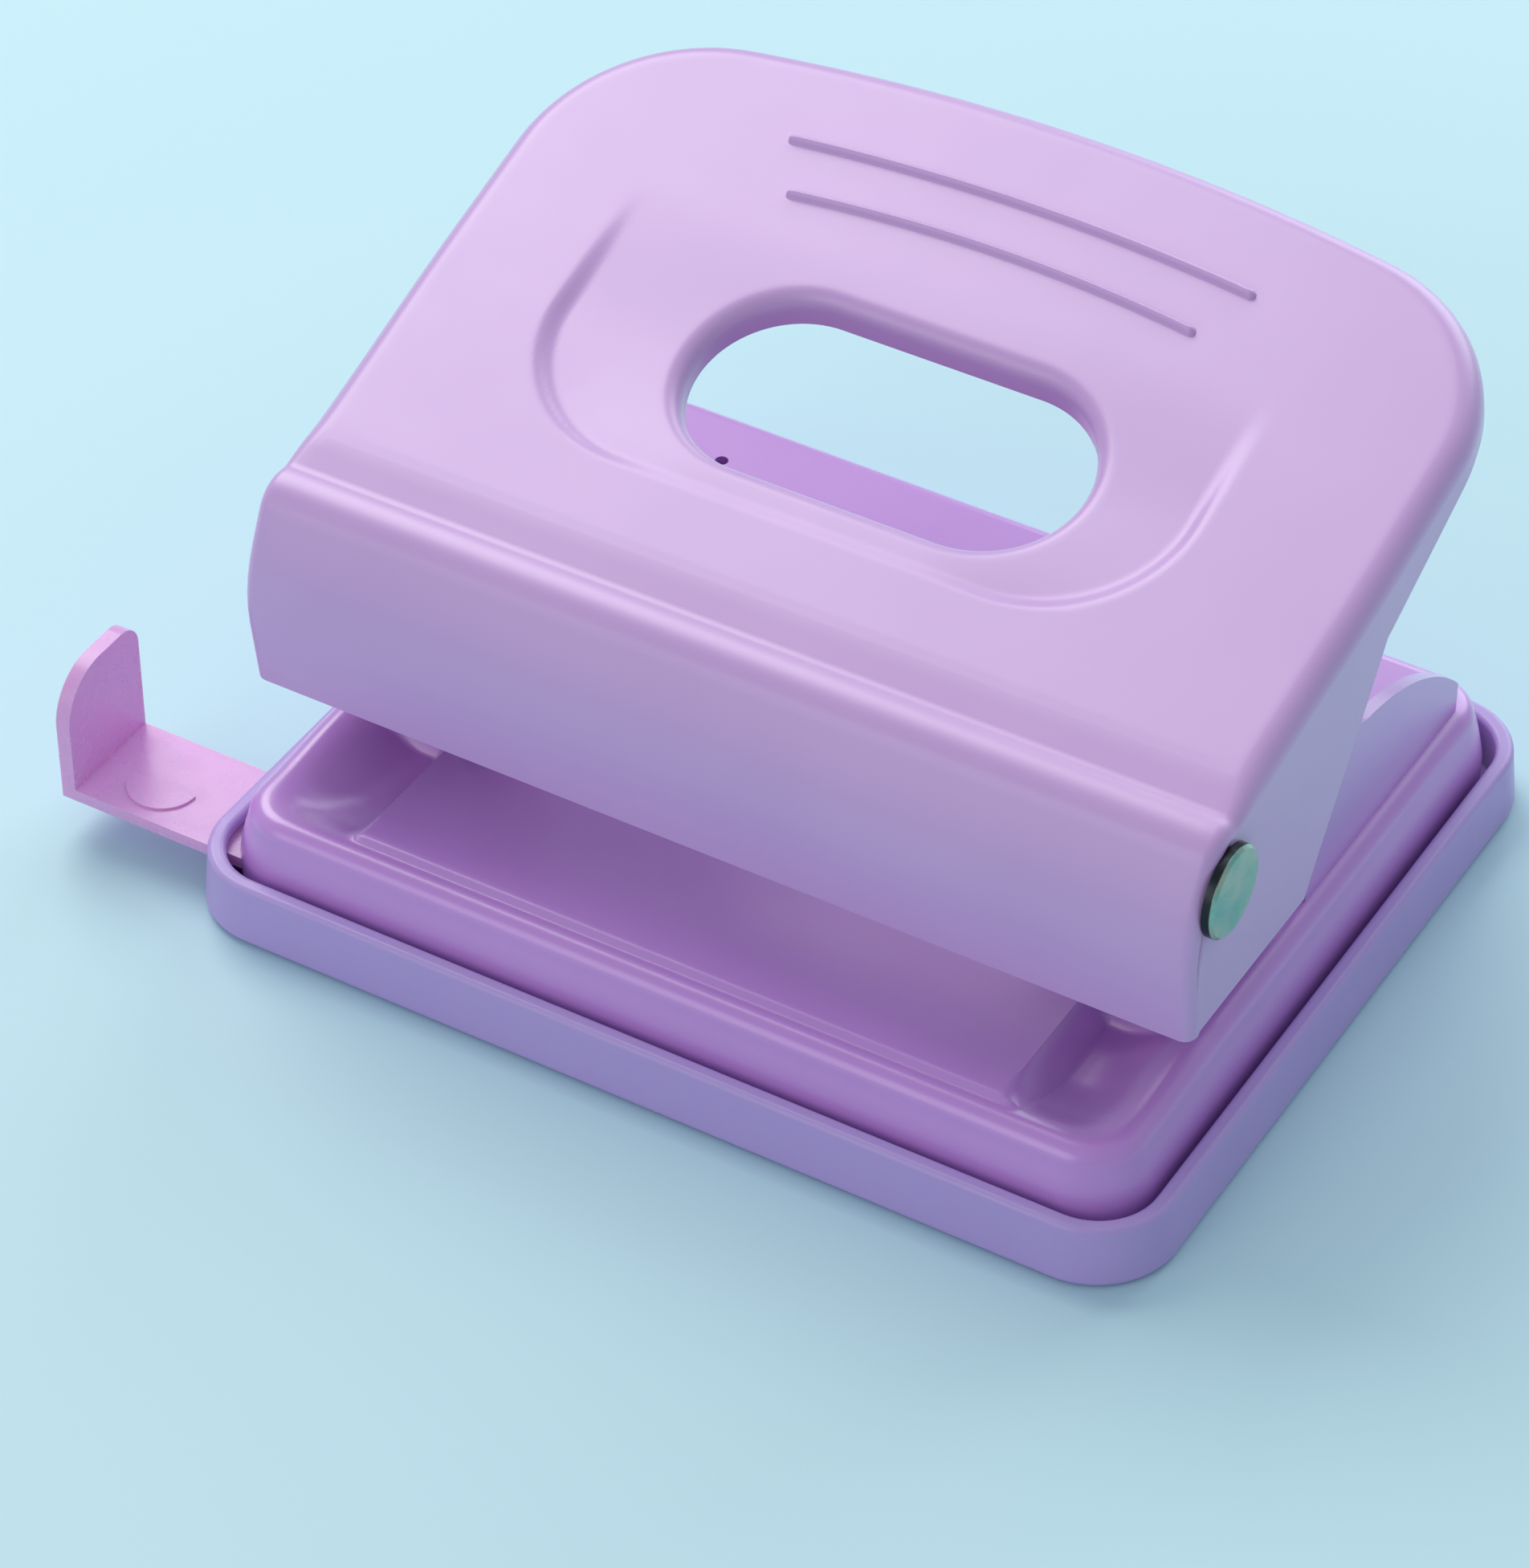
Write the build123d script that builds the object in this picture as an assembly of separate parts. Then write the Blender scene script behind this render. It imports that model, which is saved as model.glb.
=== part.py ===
from build123d import *
import math
import os

# Two-hole desk punch. Millimetres, +X to the right along the front edge, +Y to the back, +Z up.
# The origin is the centre of the chip tray's underside.

# Chip tray
TRAY_WIDTH = 118.0
TRAY_DEPTH = 97.0
TRAY_HEIGHT = 7.6
TRAY_CORNER = 9.0
TRAY_WALL = 2.0
TRAY_FLOOR = 1.6
TRAY_FLARE = 0.7
TRAY_EDGE_ROUND = 0.7
TRAY_FOOT_ROUND = 0.8

# Base frame, pressed from one sheet
SHEET = 1.2
FRAME_MARGIN = 4.1
FRAME_CORNER = 6.5
FRAME_TOP = 14.2
FRAME_RIM_ROUND = 2.2
FRAME_SEAT_GAP = 0.2
LIP_DROP = 0.7
LIP_DEPTH = 3.0
TABLE_WIDTH = 79.0
SCOOP_RIM = 3.8
SCOOP_DEPTH = 6.6
SCOOP_SLOPE = 10.5
SCOOP_REAR_GAP = 2.5
SCOOP_EDGE_ROUND = 0.6
SCOOP_LEAN = 1.6
HANG_HOLE = 0.8
HANG_HOLE_INSET = 8.9

# Punching line
HOLE_SPACING = 80.0
PUNCH_RADIUS = 3.0
PAPER_MARGIN = 12.0
THROAT_END = 1.6
PUNCH_Y = THROAT_END - PAPER_MARGIN
PAPER_GAP = 3.2
RUNNING_FIT = 0.05

# Dies in the paper table
DIE_RADIUS = 5.5
DIE_FLANGE = 7.0
DIE_FLANGE_HEIGHT = 2.2
SEAT_FIT = 0.02

# Side brackets
BRACKET_SHEET = 1.5
BRACKET_SIDE_INSET = 2.1
BRACKET_REAR_INSET = 6.0
BRACKET_REAR_HEIGHT = 3.8
BRACKET_LOBE_Y = 14.0
BRACKET_LOBE_HEIGHT = 16.4
BRACKET_LOBE_SWELL = 2.1
BRACKET_NOSE_RADIUS = 3.5
BRACKET_STOP_Z = 26.0
LEVER_STOP_GAP = 0.3
ARM_FRONT = -26.0
ARM_LENGTH = 18.5
ARM_BESIDE = 6.7
FOOT_WIDTH = 9.5
FOOT_LENGTH = 23.0
FOOT_FRONT = 4.0
RIVET_RADIUS = 2.2
RIVET_HEIGHT = 1.1
RIVET_SHANK = 1.2

# Punch guides, pins and springs
GUIDE_RADIUS = 5.4
GUIDE_SPIGOT = 4.2
GUIDE_HEIGHT = 7.6
PIN_TIP_RECESS = 0.5
PIN_HEAD_RADIUS = 5.0
PIN_HEAD_HEIGHT = 2.0
PIN_POINT_DEPTH = 1.4
SPRING_LENGTH = 13.4
SPRING_WIRE = 0.9
SPRING_RADIUS = 4.5
SPRING_TURNS = 7
SPRING_END_PITCH = 1.36
SPRING_SEAT_GAP = 0.02
PRESS_GAP = 0.2

# Lever, a pressed shell turning on the pivot shaft. Its top is a plane that climbs to the rear
# from the valley behind the front roll. Distances named RUN are measured along that slope.
LEVER_SLOPE = 0.29
LEVER_SIDE_GAP = 4.5
LEVER_FLARE = 0.5
LEVER_VALLEY_Y = -25.6
LEVER_VALLEY_Z = 49.4
LEVER_FLARE_START = 5.0
LEVER_FLARE_END = 34.0
LEVER_REAR_RUN = 73.3
LEVER_REAR_BOW = 6.8
LEVER_REAR_CORNER = 22.0
LEVER_EDGE_ROUND = 2.7
LEVER_FOOT_Y = -34.1
LEVER_FOOT_Z = 24.2
LEVER_BELLY_Y = -35.9
LEVER_BELLY_Z = 37.5
LEVER_BELLY_ROUND = 18.0
LEVER_SHOULDER_Y = -30.2
LEVER_SHOULDER_Z = 49.9
LEVER_SHOULDER_ROUND = 3.8
LEVER_VALLEY_ROUND = 4.0
LEVER_END_ROUND = 1.5
FLANGE_FOOT_REAR = -9.0
FLANGE_FOOT_RISE = 0.6
FLANGE_KNEE_Y = 6.0
FLANGE_KNEE_Z = 49.5
FLANGE_REAR_Y = 26.0
FLANGE_REAR_Z = 59.8

# Grip opening, dish and ribs in the lever's top
GRIP_HALF = 23.6
GRIP_RADIUS = 11.4
GRIP_RUN = 29.5
GRIP_LIP_DEPTH = 4.4
GRIP_LIP_ROUND = 2.0
DISH_HALF = 39.0
DISH_FRONT_RUN = 13.4
DISH_REAR_RUN = 46.0
DISH_CORNER = 16.5
DISH_DEPTH = 0.9
RIB_WIDTH = 1.9
RIB_HEIGHT = 0.8
RIB_BOW = 1.6
RIB_HALVES = (28.0, 24.8)
RIB_RUNS = (59.3, 52.4)

# Press bar under the lever's top
BAR_SHEET = 1.5
BAR_WIDTH = 8.0
BAR_SIDE_GAP = 5.8
BAR_ROUND = 3.2
BAR_NOTCH_HALF = 27.5
BAR_NOTCH_GAP = 3.5

# Pivot
PIVOT_Y = -28.7
PIVOT_Z = 41.4
PIVOT_RADIUS = 2.0
PIVOT_HEAD_RADIUS = 5.15
PIVOT_HEAD_HEIGHT = 1.3
PIVOT_HEAD_CHAMFER = 0.35
SPACER_RADIUS = 3.4
SPACER_GAP = 0.1
CLIP_RADIUS = 3.3
CLIP_THICK = 0.8
CLIP_GROOVE = 0.4
CLIP_GAP = 0.1
CLIP_MOUTH = 2.6
SHAFT_END_PROUD = 0.2

# Paper guide
GUIDE_STRIP_INSET = 5.5
GUIDE_STRIP_WIDTH = 13.5
GUIDE_STRIP_THICK = 1.5
GUIDE_STRIP_Z = 4.4
GUIDE_STRIP_LENGTH = 110.0
GUIDE_OUT = 19.2
GUIDE_TAB_THICK = 1.8
GUIDE_TAB_HEIGHT = 16.4
GUIDE_TAB_FRONT_ROUND = 6.5
GUIDE_TAB_REAR_ROUND = 3.0
GUIDE_SLIDE_GAP = 0.25
THUMB_MARK_RADIUS = 4.2
THUMB_MARK_HEIGHT = 0.3
THUMB_MARK_OFFSET = 8.0

# Tray ribs and friction tabs
RAIL_WIDTH = 1.6
RAIL_INSET = 2.0
TAB_LENGTH = 9.0
TAB_THICK = 1.4
TAB_TOP = 8.0
TAB_GAP = 0.2
TAB_X = 30.0

# Sizes that follow from the ones above
FRAME_WIDTH = TRAY_WIDTH - 2 * FRAME_MARGIN
FRAME_DEPTH = TRAY_DEPTH - 2 * FRAME_MARGIN
FRAME_BOTTOM = TRAY_FLOOR + FRAME_SEAT_GAP
TABLE_HALF = TABLE_WIDTH / 2
SCOOP_OUTER = FRAME_WIDTH / 2 - SCOOP_RIM
SCOOP_REAR = PUNCH_Y - DIE_FLANGE - SCOOP_REAR_GAP
BRACKET_FACE = FRAME_WIDTH / 2 - BRACKET_SIDE_INSET
BRACKET_REAR = FRAME_DEPTH / 2 - BRACKET_REAR_INSET
LEVER_FRONT_HALF = BRACKET_FACE + LEVER_SIDE_GAP
LEVER_REAR_HALF = LEVER_FRONT_HALF + LEVER_FLARE
BAR_HALF = BRACKET_FACE - BAR_SIDE_GAP
GUIDE_STRIP_FRONT = -TRAY_DEPTH / 2 + GUIDE_STRIP_INSET
GUIDE_TAB_X = -TRAY_WIDTH / 2 - GUIDE_OUT
GUIDE_BOTTOM = FRAME_TOP + PAPER_GAP
GUIDE_TOP = GUIDE_BOTTOM + BRACKET_SHEET + GUIDE_HEIGHT
PIN_HEAD_BOTTOM = GUIDE_TOP + SPRING_LENGTH
PIN_TOP = PIN_HEAD_BOTTOM + PIN_HEAD_HEIGHT
BAR_BOTTOM = PIN_TOP + PRESS_GAP
LEVER_PITCH = math.atan(LEVER_SLOPE)
LEVER_LOW_Z = LEVER_FOOT_Z / 5
LEVER_PLAN_FRONT = LEVER_FOOT_Y / 3
LEVER_BEHIND_RUN = LEVER_REAR_RUN / 2
LEVER_SLAB_DEPTH = LEVER_VALLEY_Z + 10
GUIDE_SLOT_TOP = GUIDE_STRIP_Z + GUIDE_STRIP_THICK + THUMB_MARK_HEIGHT + GUIDE_SLIDE_GAP


def rounded_block(width, depth, radius, bottom, top):
    return extrude(Pos(0, 0, bottom) * RectangleRounded(width, depth, radius), top - bottom)


def box_between(x0, x1, y0, y1, z0, z1):
    size = (x1 - x0, y1 - y0, z1 - z0)
    return Pos((x0 + x1) / 2, (y0 + y1) / 2, (z0 + z1) / 2) * Box(*size)


def disc(x, y, radius, bottom, top):
    return Pos(x, y, (bottom + top) / 2) * Cylinder(radius, top - bottom)


def side_plate(outline, x0, x1):
    """Extrudes a face drawn in (y, z) from x0 to x1."""
    plane = Plane(origin=(x0, 0, 0), x_dir=(0, 1, 0), z_dir=(1, 0, 0))
    return extrude(plane * outline, x1 - x0)


def rod(radius, x0, x1, y, z):
    return side_plate(Pos(y, z) * Circle(radius), x0, x1)


def top_face_edges(solid, height):
    return solid.edges().filter_by_position(Axis.Z, height - 0.01, height + 0.01)


def make_tray():
    foot = RectangleRounded(
        TRAY_WIDTH + 2 * TRAY_FLARE, TRAY_DEPTH + 2 * TRAY_FLARE, TRAY_CORNER + TRAY_FLARE
    )
    rim = Pos(0, 0, TRAY_HEIGHT) * RectangleRounded(TRAY_WIDTH, TRAY_DEPTH, TRAY_CORNER)
    tray = loft([foot, rim], ruled=True)
    tray = fillet(top_face_edges(tray, 0), TRAY_FOOT_ROUND)
    tray -= rounded_block(
        TRAY_WIDTH - 2 * TRAY_WALL,
        TRAY_DEPTH - 2 * TRAY_WALL,
        TRAY_CORNER - TRAY_WALL,
        TRAY_FLOOR,
        TRAY_HEIGHT + 1,
    )
    tray = fillet(top_face_edges(tray, TRAY_HEIGHT), TRAY_EDGE_ROUND)
    # slot in the left wall for the guide strip
    tray -= box_between(
        -TRAY_WIDTH,
        -TRAY_WIDTH / 2 + TRAY_WALL + 1,
        GUIDE_STRIP_FRONT - GUIDE_SLIDE_GAP,
        GUIDE_STRIP_FRONT + GUIDE_STRIP_WIDTH + GUIDE_SLIDE_GAP,
        GUIDE_STRIP_Z - GUIDE_SLIDE_GAP,
        GUIDE_SLOT_TOP,
    )
    # rails that carry the strip
    rail_half = FRAME_WIDTH / 2 - SHEET - RAIL_INSET
    for y in (
        GUIDE_STRIP_FRONT + RAIL_INSET,
        GUIDE_STRIP_FRONT + GUIDE_STRIP_WIDTH - RAIL_INSET - RAIL_WIDTH,
    ):
        tray += box_between(
            -rail_half, rail_half, y, y + RAIL_WIDTH, TRAY_FLOOR / 2, GUIDE_STRIP_Z - GUIDE_SLIDE_GAP / 2
        )
    # a fence behind the strip keeps it square
    fence = GUIDE_STRIP_FRONT + GUIDE_STRIP_WIDTH + GUIDE_SLIDE_GAP
    tray += box_between(
        -rail_half, rail_half, fence, fence + RAIL_WIDTH, TRAY_FLOOR / 2,
        GUIDE_STRIP_Z + GUIDE_STRIP_THICK - GUIDE_SLIDE_GAP,
    )
    # friction tabs that grip the frame's skirt from inside, at the rear and at both sides
    inner_y = FRAME_DEPTH / 2 - SHEET - TAB_GAP
    inner_x = FRAME_WIDTH / 2 - SHEET - TAB_GAP
    for side in (-1, 1):
        x = side * TAB_X
        tray += box_between(
            x - TAB_LENGTH / 2, x + TAB_LENGTH / 2, inner_y - TAB_THICK, inner_y, TRAY_FLOOR / 2, TAB_TOP
        )
        x0, x1 = sorted((side * inner_x, side * (inner_x - TAB_THICK)))
        tray += box_between(x0, x1, PUNCH_Y - TAB_LENGTH / 2, PUNCH_Y + TAB_LENGTH / 2, TRAY_FLOOR / 2, TAB_TOP)
    return tray


def scoop(side, grow):
    """Space above one side depression, grown by the sheet for the frame's inner form."""
    front = -FRAME_DEPTH / 2 + LIP_DEPTH
    floor = FRAME_TOP - SCOOP_DEPTH - grow
    rear = SCOOP_REAR + grow
    outline = Polyline(
        (front - grow, FRAME_TOP - LIP_DROP - grow / 2),
        (front + SCOOP_SLOPE - grow / 2, floor),
        (rear, floor),
        (rear, FRAME_TOP + 4),
        (front - grow, FRAME_TOP + 4),
        close=True,
    )
    x0 = TABLE_HALF - grow
    x1 = SCOOP_OUTER + grow
    block = side_plate(make_face(outline), x0, x1)
    # the table's wall leans outward towards the floor
    lean = Polyline(
        (x0 - 1, FRAME_TOP), (x0, FRAME_TOP), (x0 + SCOOP_LEAN, floor), (x0 + SCOOP_LEAN, floor - 1),
        (x0 - 1, floor - 1), close=True,
    )
    wedge_plane = Plane(origin=(0, front - 10, 0), x_dir=(1, 0, 0), z_dir=(0, -1, 0))
    wedge = extrude(wedge_plane * make_face(lean), -FRAME_DEPTH)
    block -= wedge
    if side < 0:
        block = mirror(block, about=Plane.YZ)
    return block


def frame_form(inset):
    """The frame's outer form, or with an inset of one sheet its inner form."""
    bottom = FRAME_BOTTOM - inset
    top = FRAME_TOP - inset
    form = rounded_block(
        FRAME_WIDTH - 2 * inset, FRAME_DEPTH - 2 * inset, FRAME_CORNER - inset, bottom, top
    )
    form = fillet(top_face_edges(form, top), FRAME_RIM_ROUND - inset)
    for side in (-1, 1):
        form -= scoop(side, inset)
    if not inset:
        form = fillet([edge for edge in top_face_edges(form, top) if beside_scoop(edge)], SCOOP_EDGE_ROUND)
    # the front lip lies a little lower than the table
    lip_rear = -FRAME_DEPTH / 2 + LIP_DEPTH + inset
    lip = box_between(-TABLE_HALF, TABLE_HALF, -FRAME_DEPTH, lip_rear, top - LIP_DROP, top + 2)
    return form - lip


def beside_scoop(edge):
    """True for the paper table's edges along the sides and the rear of the side depressions."""
    place = edge.center()
    front = -FRAME_DEPTH / 2 + LIP_DEPTH + 1
    return TABLE_HALF - 0.1 < abs(place.X) < SCOOP_OUTER + 0.1 and front < place.Y < SCOOP_REAR + 0.1


def make_frame():
    frame = frame_form(0) - frame_form(SHEET)
    for side in (-1, 1):
        frame -= disc(side * HOLE_SPACING / 2, PUNCH_Y, DIE_RADIUS + SEAT_FIT, FRAME_TOP - 4, FRAME_TOP + 1)
        frame -= disc(
            side * HOLE_SPACING / 2, FRAME_DEPTH / 2 - HANG_HOLE_INSET, HANG_HOLE, FRAME_TOP - 4, FRAME_TOP + 1
        )
        for y in rivet_rows():
            frame -= disc(side * rivet_x(), y, RIVET_SHANK + SEAT_FIT, FRAME_TOP - 4, FRAME_TOP + 1)
    # notch in the left skirt for the guide strip
    frame -= box_between(
        -TRAY_WIDTH / 2,
        -FRAME_WIDTH / 2 + FRAME_CORNER,
        -TRAY_DEPTH / 2,
        GUIDE_STRIP_FRONT + GUIDE_STRIP_WIDTH + 2 * GUIDE_SLIDE_GAP,
        FRAME_BOTTOM - 1,
        GUIDE_SLOT_TOP,
    ) - box_between(
        -TRAY_WIDTH / 2, 0, -TRAY_DEPTH, -FRAME_DEPTH / 2 + SHEET + 0.01, 0, FRAME_TOP
    )
    return frame


def rivet_x():
    return BRACKET_FACE - BRACKET_SHEET - FOOT_WIDTH / 2


def rivet_rows():
    return (FOOT_FRONT + FOOT_LENGTH * 0.22, FOOT_FRONT + FOOT_LENGTH * 0.8)


def front_wall_inside(z):
    """The y of the lever's front wall, on its inside, between its foot and its belly."""
    rise = (z - LEVER_FOOT_Z) / (LEVER_BELLY_Z - LEVER_FOOT_Z)
    return LEVER_FOOT_Y + rise * (LEVER_BELLY_Y - LEVER_FOOT_Y) + SHEET


def bracket_outline():
    foot = FRAME_TOP
    arm = GUIDE_BOTTOM
    rear_corner = (BRACKET_REAR, foot + BRACKET_REAR_HEIGHT)
    lobe = (BRACKET_LOBE_Y, foot + BRACKET_LOBE_HEIGHT)
    swell = (
        (rear_corner[0] + lobe[0]) / 2 + BRACKET_LOBE_SWELL / 2,
        (rear_corner[1] + lobe[1]) / 2 + BRACKET_LOBE_SWELL,
    )
    nose_rear = (PIVOT_Y + BRACKET_NOSE_RADIUS * 0.6, PIVOT_Z + BRACKET_NOSE_RADIUS * 0.8)
    nose_top = (PIVOT_Y - BRACKET_NOSE_RADIUS * 0.6, PIVOT_Z + BRACKET_NOSE_RADIUS * 0.8)
    nose_front = (PIVOT_Y - BRACKET_NOSE_RADIUS, PIVOT_Z)
    stop = (front_wall_inside(BRACKET_STOP_Z) + LEVER_STOP_GAP, BRACKET_STOP_Z)
    with BuildLine() as line:
        Polyline((THROAT_END, arm), (THROAT_END, foot), (BRACKET_REAR, foot), rear_corner)
        ThreePointArc(rear_corner, swell, lobe)
        Line(lobe, nose_rear)
        ThreePointArc(nose_rear, nose_top, nose_front)
        Polyline(nose_front, stop, (ARM_FRONT, arm), (THROAT_END, arm))
    return make_face(line.line)


def make_bracket(side):
    inner = BRACKET_FACE - BRACKET_SHEET
    plate = side_plate(bracket_outline(), inner, BRACKET_FACE)
    arm_rear = PUNCH_Y + ARM_LENGTH / 2
    plate += box_between(
        HOLE_SPACING / 2 - ARM_BESIDE, inner + 0.5, PUNCH_Y - ARM_LENGTH / 2, arm_rear, GUIDE_BOTTOM, GUIDE_BOTTOM + BRACKET_SHEET
    )
    plate += box_between(
        inner - FOOT_WIDTH, inner + 0.5, FOOT_FRONT, FOOT_FRONT + FOOT_LENGTH, FRAME_TOP, FRAME_TOP + BRACKET_SHEET
    )
    plate -= rod(PIVOT_RADIUS + RUNNING_FIT, inner - 1, BRACKET_FACE + 1, PIVOT_Y, PIVOT_Z)
    plate -= disc(HOLE_SPACING / 2, PUNCH_Y, GUIDE_SPIGOT + SEAT_FIT, GUIDE_BOTTOM - 1, GUIDE_BOTTOM + 4)
    for y in rivet_rows():
        plate -= disc(rivet_x(), y, RIVET_SHANK + SEAT_FIT, FRAME_TOP - 1, FRAME_TOP + 3)
    if side < 0:
        plate = mirror(plate, about=Plane.YZ)
    return plate


def make_rivets():
    rivets = []
    head_seat = FRAME_TOP + BRACKET_SHEET
    tail_seat = FRAME_TOP - SHEET
    for side in (-1, 1):
        for y in rivet_rows():
            x = side * rivet_x()
            head = disc(x, y, RIVET_RADIUS, head_seat, head_seat + RIVET_HEIGHT)
            head = fillet(top_face_edges(head, head_seat + RIVET_HEIGHT), RIVET_HEIGHT * 0.85)
            tail = disc(x, y, RIVET_RADIUS * 0.85, tail_seat - RIVET_HEIGHT * 0.7, tail_seat)
            shank = disc(x, y, RIVET_SHANK, tail_seat - 0.2, head_seat + 0.2)
            rivets.append(head + shank + tail)
    return Compound(children=rivets)


def make_die(side):
    x = side * HOLE_SPACING / 2
    bottom = FRAME_TOP - SHEET - DIE_FLANGE_HEIGHT
    die = disc(x, PUNCH_Y, DIE_RADIUS, FRAME_TOP - SHEET, FRAME_TOP)
    die += disc(x, PUNCH_Y, DIE_FLANGE, bottom, FRAME_TOP - SHEET)
    die -= disc(x, PUNCH_Y, PUNCH_RADIUS + RUNNING_FIT, bottom - 1, FRAME_TOP + 1)
    # the bore widens below the cutting edge so that chips drop
    die -= disc(x, PUNCH_Y, PUNCH_RADIUS + 0.5, bottom - 1, bottom + DIE_FLANGE_HEIGHT * 0.4)
    return die


def make_punch_guide(side):
    x = side * HOLE_SPACING / 2
    seat = GUIDE_BOTTOM + BRACKET_SHEET
    guide = disc(x, PUNCH_Y, GUIDE_SPIGOT, GUIDE_BOTTOM, seat)
    guide += disc(x, PUNCH_Y, GUIDE_RADIUS, seat, GUIDE_TOP)
    guide = chamfer(top_face_edges(guide, GUIDE_TOP), 0.4)
    return guide - disc(x, PUNCH_Y, PUNCH_RADIUS + RUNNING_FIT, GUIDE_BOTTOM - 1, GUIDE_TOP + 1)


def make_pin(side):
    x = side * HOLE_SPACING / 2
    tip = GUIDE_BOTTOM + PIN_TIP_RECESS
    head = disc(x, PUNCH_Y, PIN_HEAD_RADIUS, PIN_HEAD_BOTTOM, PIN_TOP)
    head = fillet(top_face_edges(head, PIN_TOP), 0.5)
    pin = head + disc(x, PUNCH_Y, PUNCH_RADIUS, tip, PIN_HEAD_BOTTOM + 0.5)
    # the cutting end is hollowed to two points
    groove = Polyline(
        (x - PUNCH_RADIUS - 1, tip - 1), (x + PUNCH_RADIUS + 1, tip - 1), (x, tip + PIN_POINT_DEPTH), close=True
    )
    plane = Plane(origin=(0, PUNCH_Y - PUNCH_RADIUS - 1, 0), x_dir=(1, 0, 0), z_dir=(0, -1, 0))
    return pin - extrude(plane * make_face(groove), -2 * (PUNCH_RADIUS + 1))


def spring_height(turn):
    """Height of the wire's centre after so many turns: closer turns at both ends."""
    rise = SPRING_LENGTH - SPRING_WIRE - 2 * SPRING_SEAT_GAP
    middle_pitch = (rise - 2 * SPRING_END_PITCH) / (SPRING_TURNS - 2)
    if turn <= 1:
        return turn * SPRING_END_PITCH
    if turn <= SPRING_TURNS - 1:
        return SPRING_END_PITCH + (turn - 1) * middle_pitch
    return rise - (SPRING_TURNS - turn) * SPRING_END_PITCH


def spring_point(turn):
    angle = 2 * math.pi * turn
    return Vector(SPRING_RADIUS * math.cos(angle), SPRING_RADIUS * math.sin(angle), spring_height(turn))


def spring_tangent(turn):
    step = 0.125
    low = max(turn - step, 0)
    high = min(turn + step, SPRING_TURNS)
    climb = (spring_height(high) - spring_height(low)) / (2 * math.pi * (high - low))
    angle = 2 * math.pi * turn
    return Vector(-SPRING_RADIUS * math.sin(angle), SPRING_RADIUS * math.cos(angle), climb).normalized()


def biarc(start, start_dir, end, end_dir):
    """Two arcs that leave start and reach end along the given directions."""
    chord = end - start
    both = start_dir + end_dir
    bend = 2 * (1 - start_dir.dot(end_dir))
    along = chord.dot(both)
    reach = (-along + math.sqrt(along * along + bend * chord.dot(chord))) / bend
    first = start + start_dir * reach
    second = end - end_dir * reach
    joint = (first + second) * 0.5
    return [
        Edge.make_tangent_arc(start, start_dir, joint),
        Edge.make_tangent_arc(joint, (second - first).normalized(), end),
    ]


def make_spring(side):
    arcs = []
    quarters = SPRING_TURNS * 4
    for quarter in range(quarters):
        a = quarter / 4
        b = (quarter + 1) / 4
        arcs += biarc(spring_point(a), spring_tangent(a), spring_point(b), spring_tangent(b))
    path = Wire(arcs)
    section = Plane(origin=spring_point(0), z_dir=spring_tangent(0)) * Circle(SPRING_WIRE / 2)
    coil = sweep(section, path=path)
    lift = GUIDE_TOP + SPRING_SEAT_GAP + SPRING_WIRE / 2
    return Pos(side * HOLE_SPACING / 2, PUNCH_Y, lift) * coil


def spring_gap():
    """Least distance between neighbouring turns, measured on points."""
    samples = [spring_point(k / 24) for k in range(SPRING_TURNS * 24 + 1)]
    least = min((samples[k + 24] - samples[k]).length for k in range(len(samples) - 24))
    return least - SPRING_WIRE


def slope_point(run, depth):
    """The (y, z) of a place on the lever's top slope, at a depth square to it."""
    return (
        LEVER_VALLEY_Y + run * math.cos(LEVER_PITCH) + depth * math.sin(LEVER_PITCH),
        LEVER_VALLEY_Z + run * math.sin(LEVER_PITCH) - depth * math.cos(LEVER_PITCH),
    )


def on_slope(sketch, depth, height):
    """Extrudes a sketch drawn in (x, run) square to the slope, from a depth upwards."""
    y, z = slope_point(0, depth)
    plane = Plane(
        origin=(0, y, z), x_dir=(1, 0, 0), z_dir=(0, -math.sin(LEVER_PITCH), math.cos(LEVER_PITCH))
    )
    return extrude(plane * sketch, height)


def lever_plan(inset):
    """The top's outline on the slope: nearly parallel sides, a bowed rear and large rear corners."""
    front = LEVER_PLAN_FRONT
    near = LEVER_FRONT_HALF - inset
    far = LEVER_REAR_HALF - inset
    middle_run = (LEVER_FLARE_START + LEVER_FLARE_END) / 2
    rear = LEVER_REAR_RUN - inset
    corner = rear - LEVER_REAR_BOW
    with BuildSketch() as sketch:
        with BuildLine():
            Polyline((0, front), (near, front), (near, LEVER_FLARE_START))
            TangentArc((near, LEVER_FLARE_START), ((near + far) / 2, middle_run), tangent=(0, 1))
            TangentArc((far, LEVER_FLARE_END), ((near + far) / 2, middle_run), tangent=(0, -1))
            Line((far, LEVER_FLARE_END), (far, corner))
            ThreePointArc((far, corner), (far / 2, rear - LEVER_REAR_BOW / 4), (0, rear))
            mirror(about=Plane.YZ)
        make_face()
        fillet([v for v in sketch.vertices() if abs(v.Y - corner) < 0.01], LEVER_REAR_CORNER - inset)
    return sketch.sketch


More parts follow.
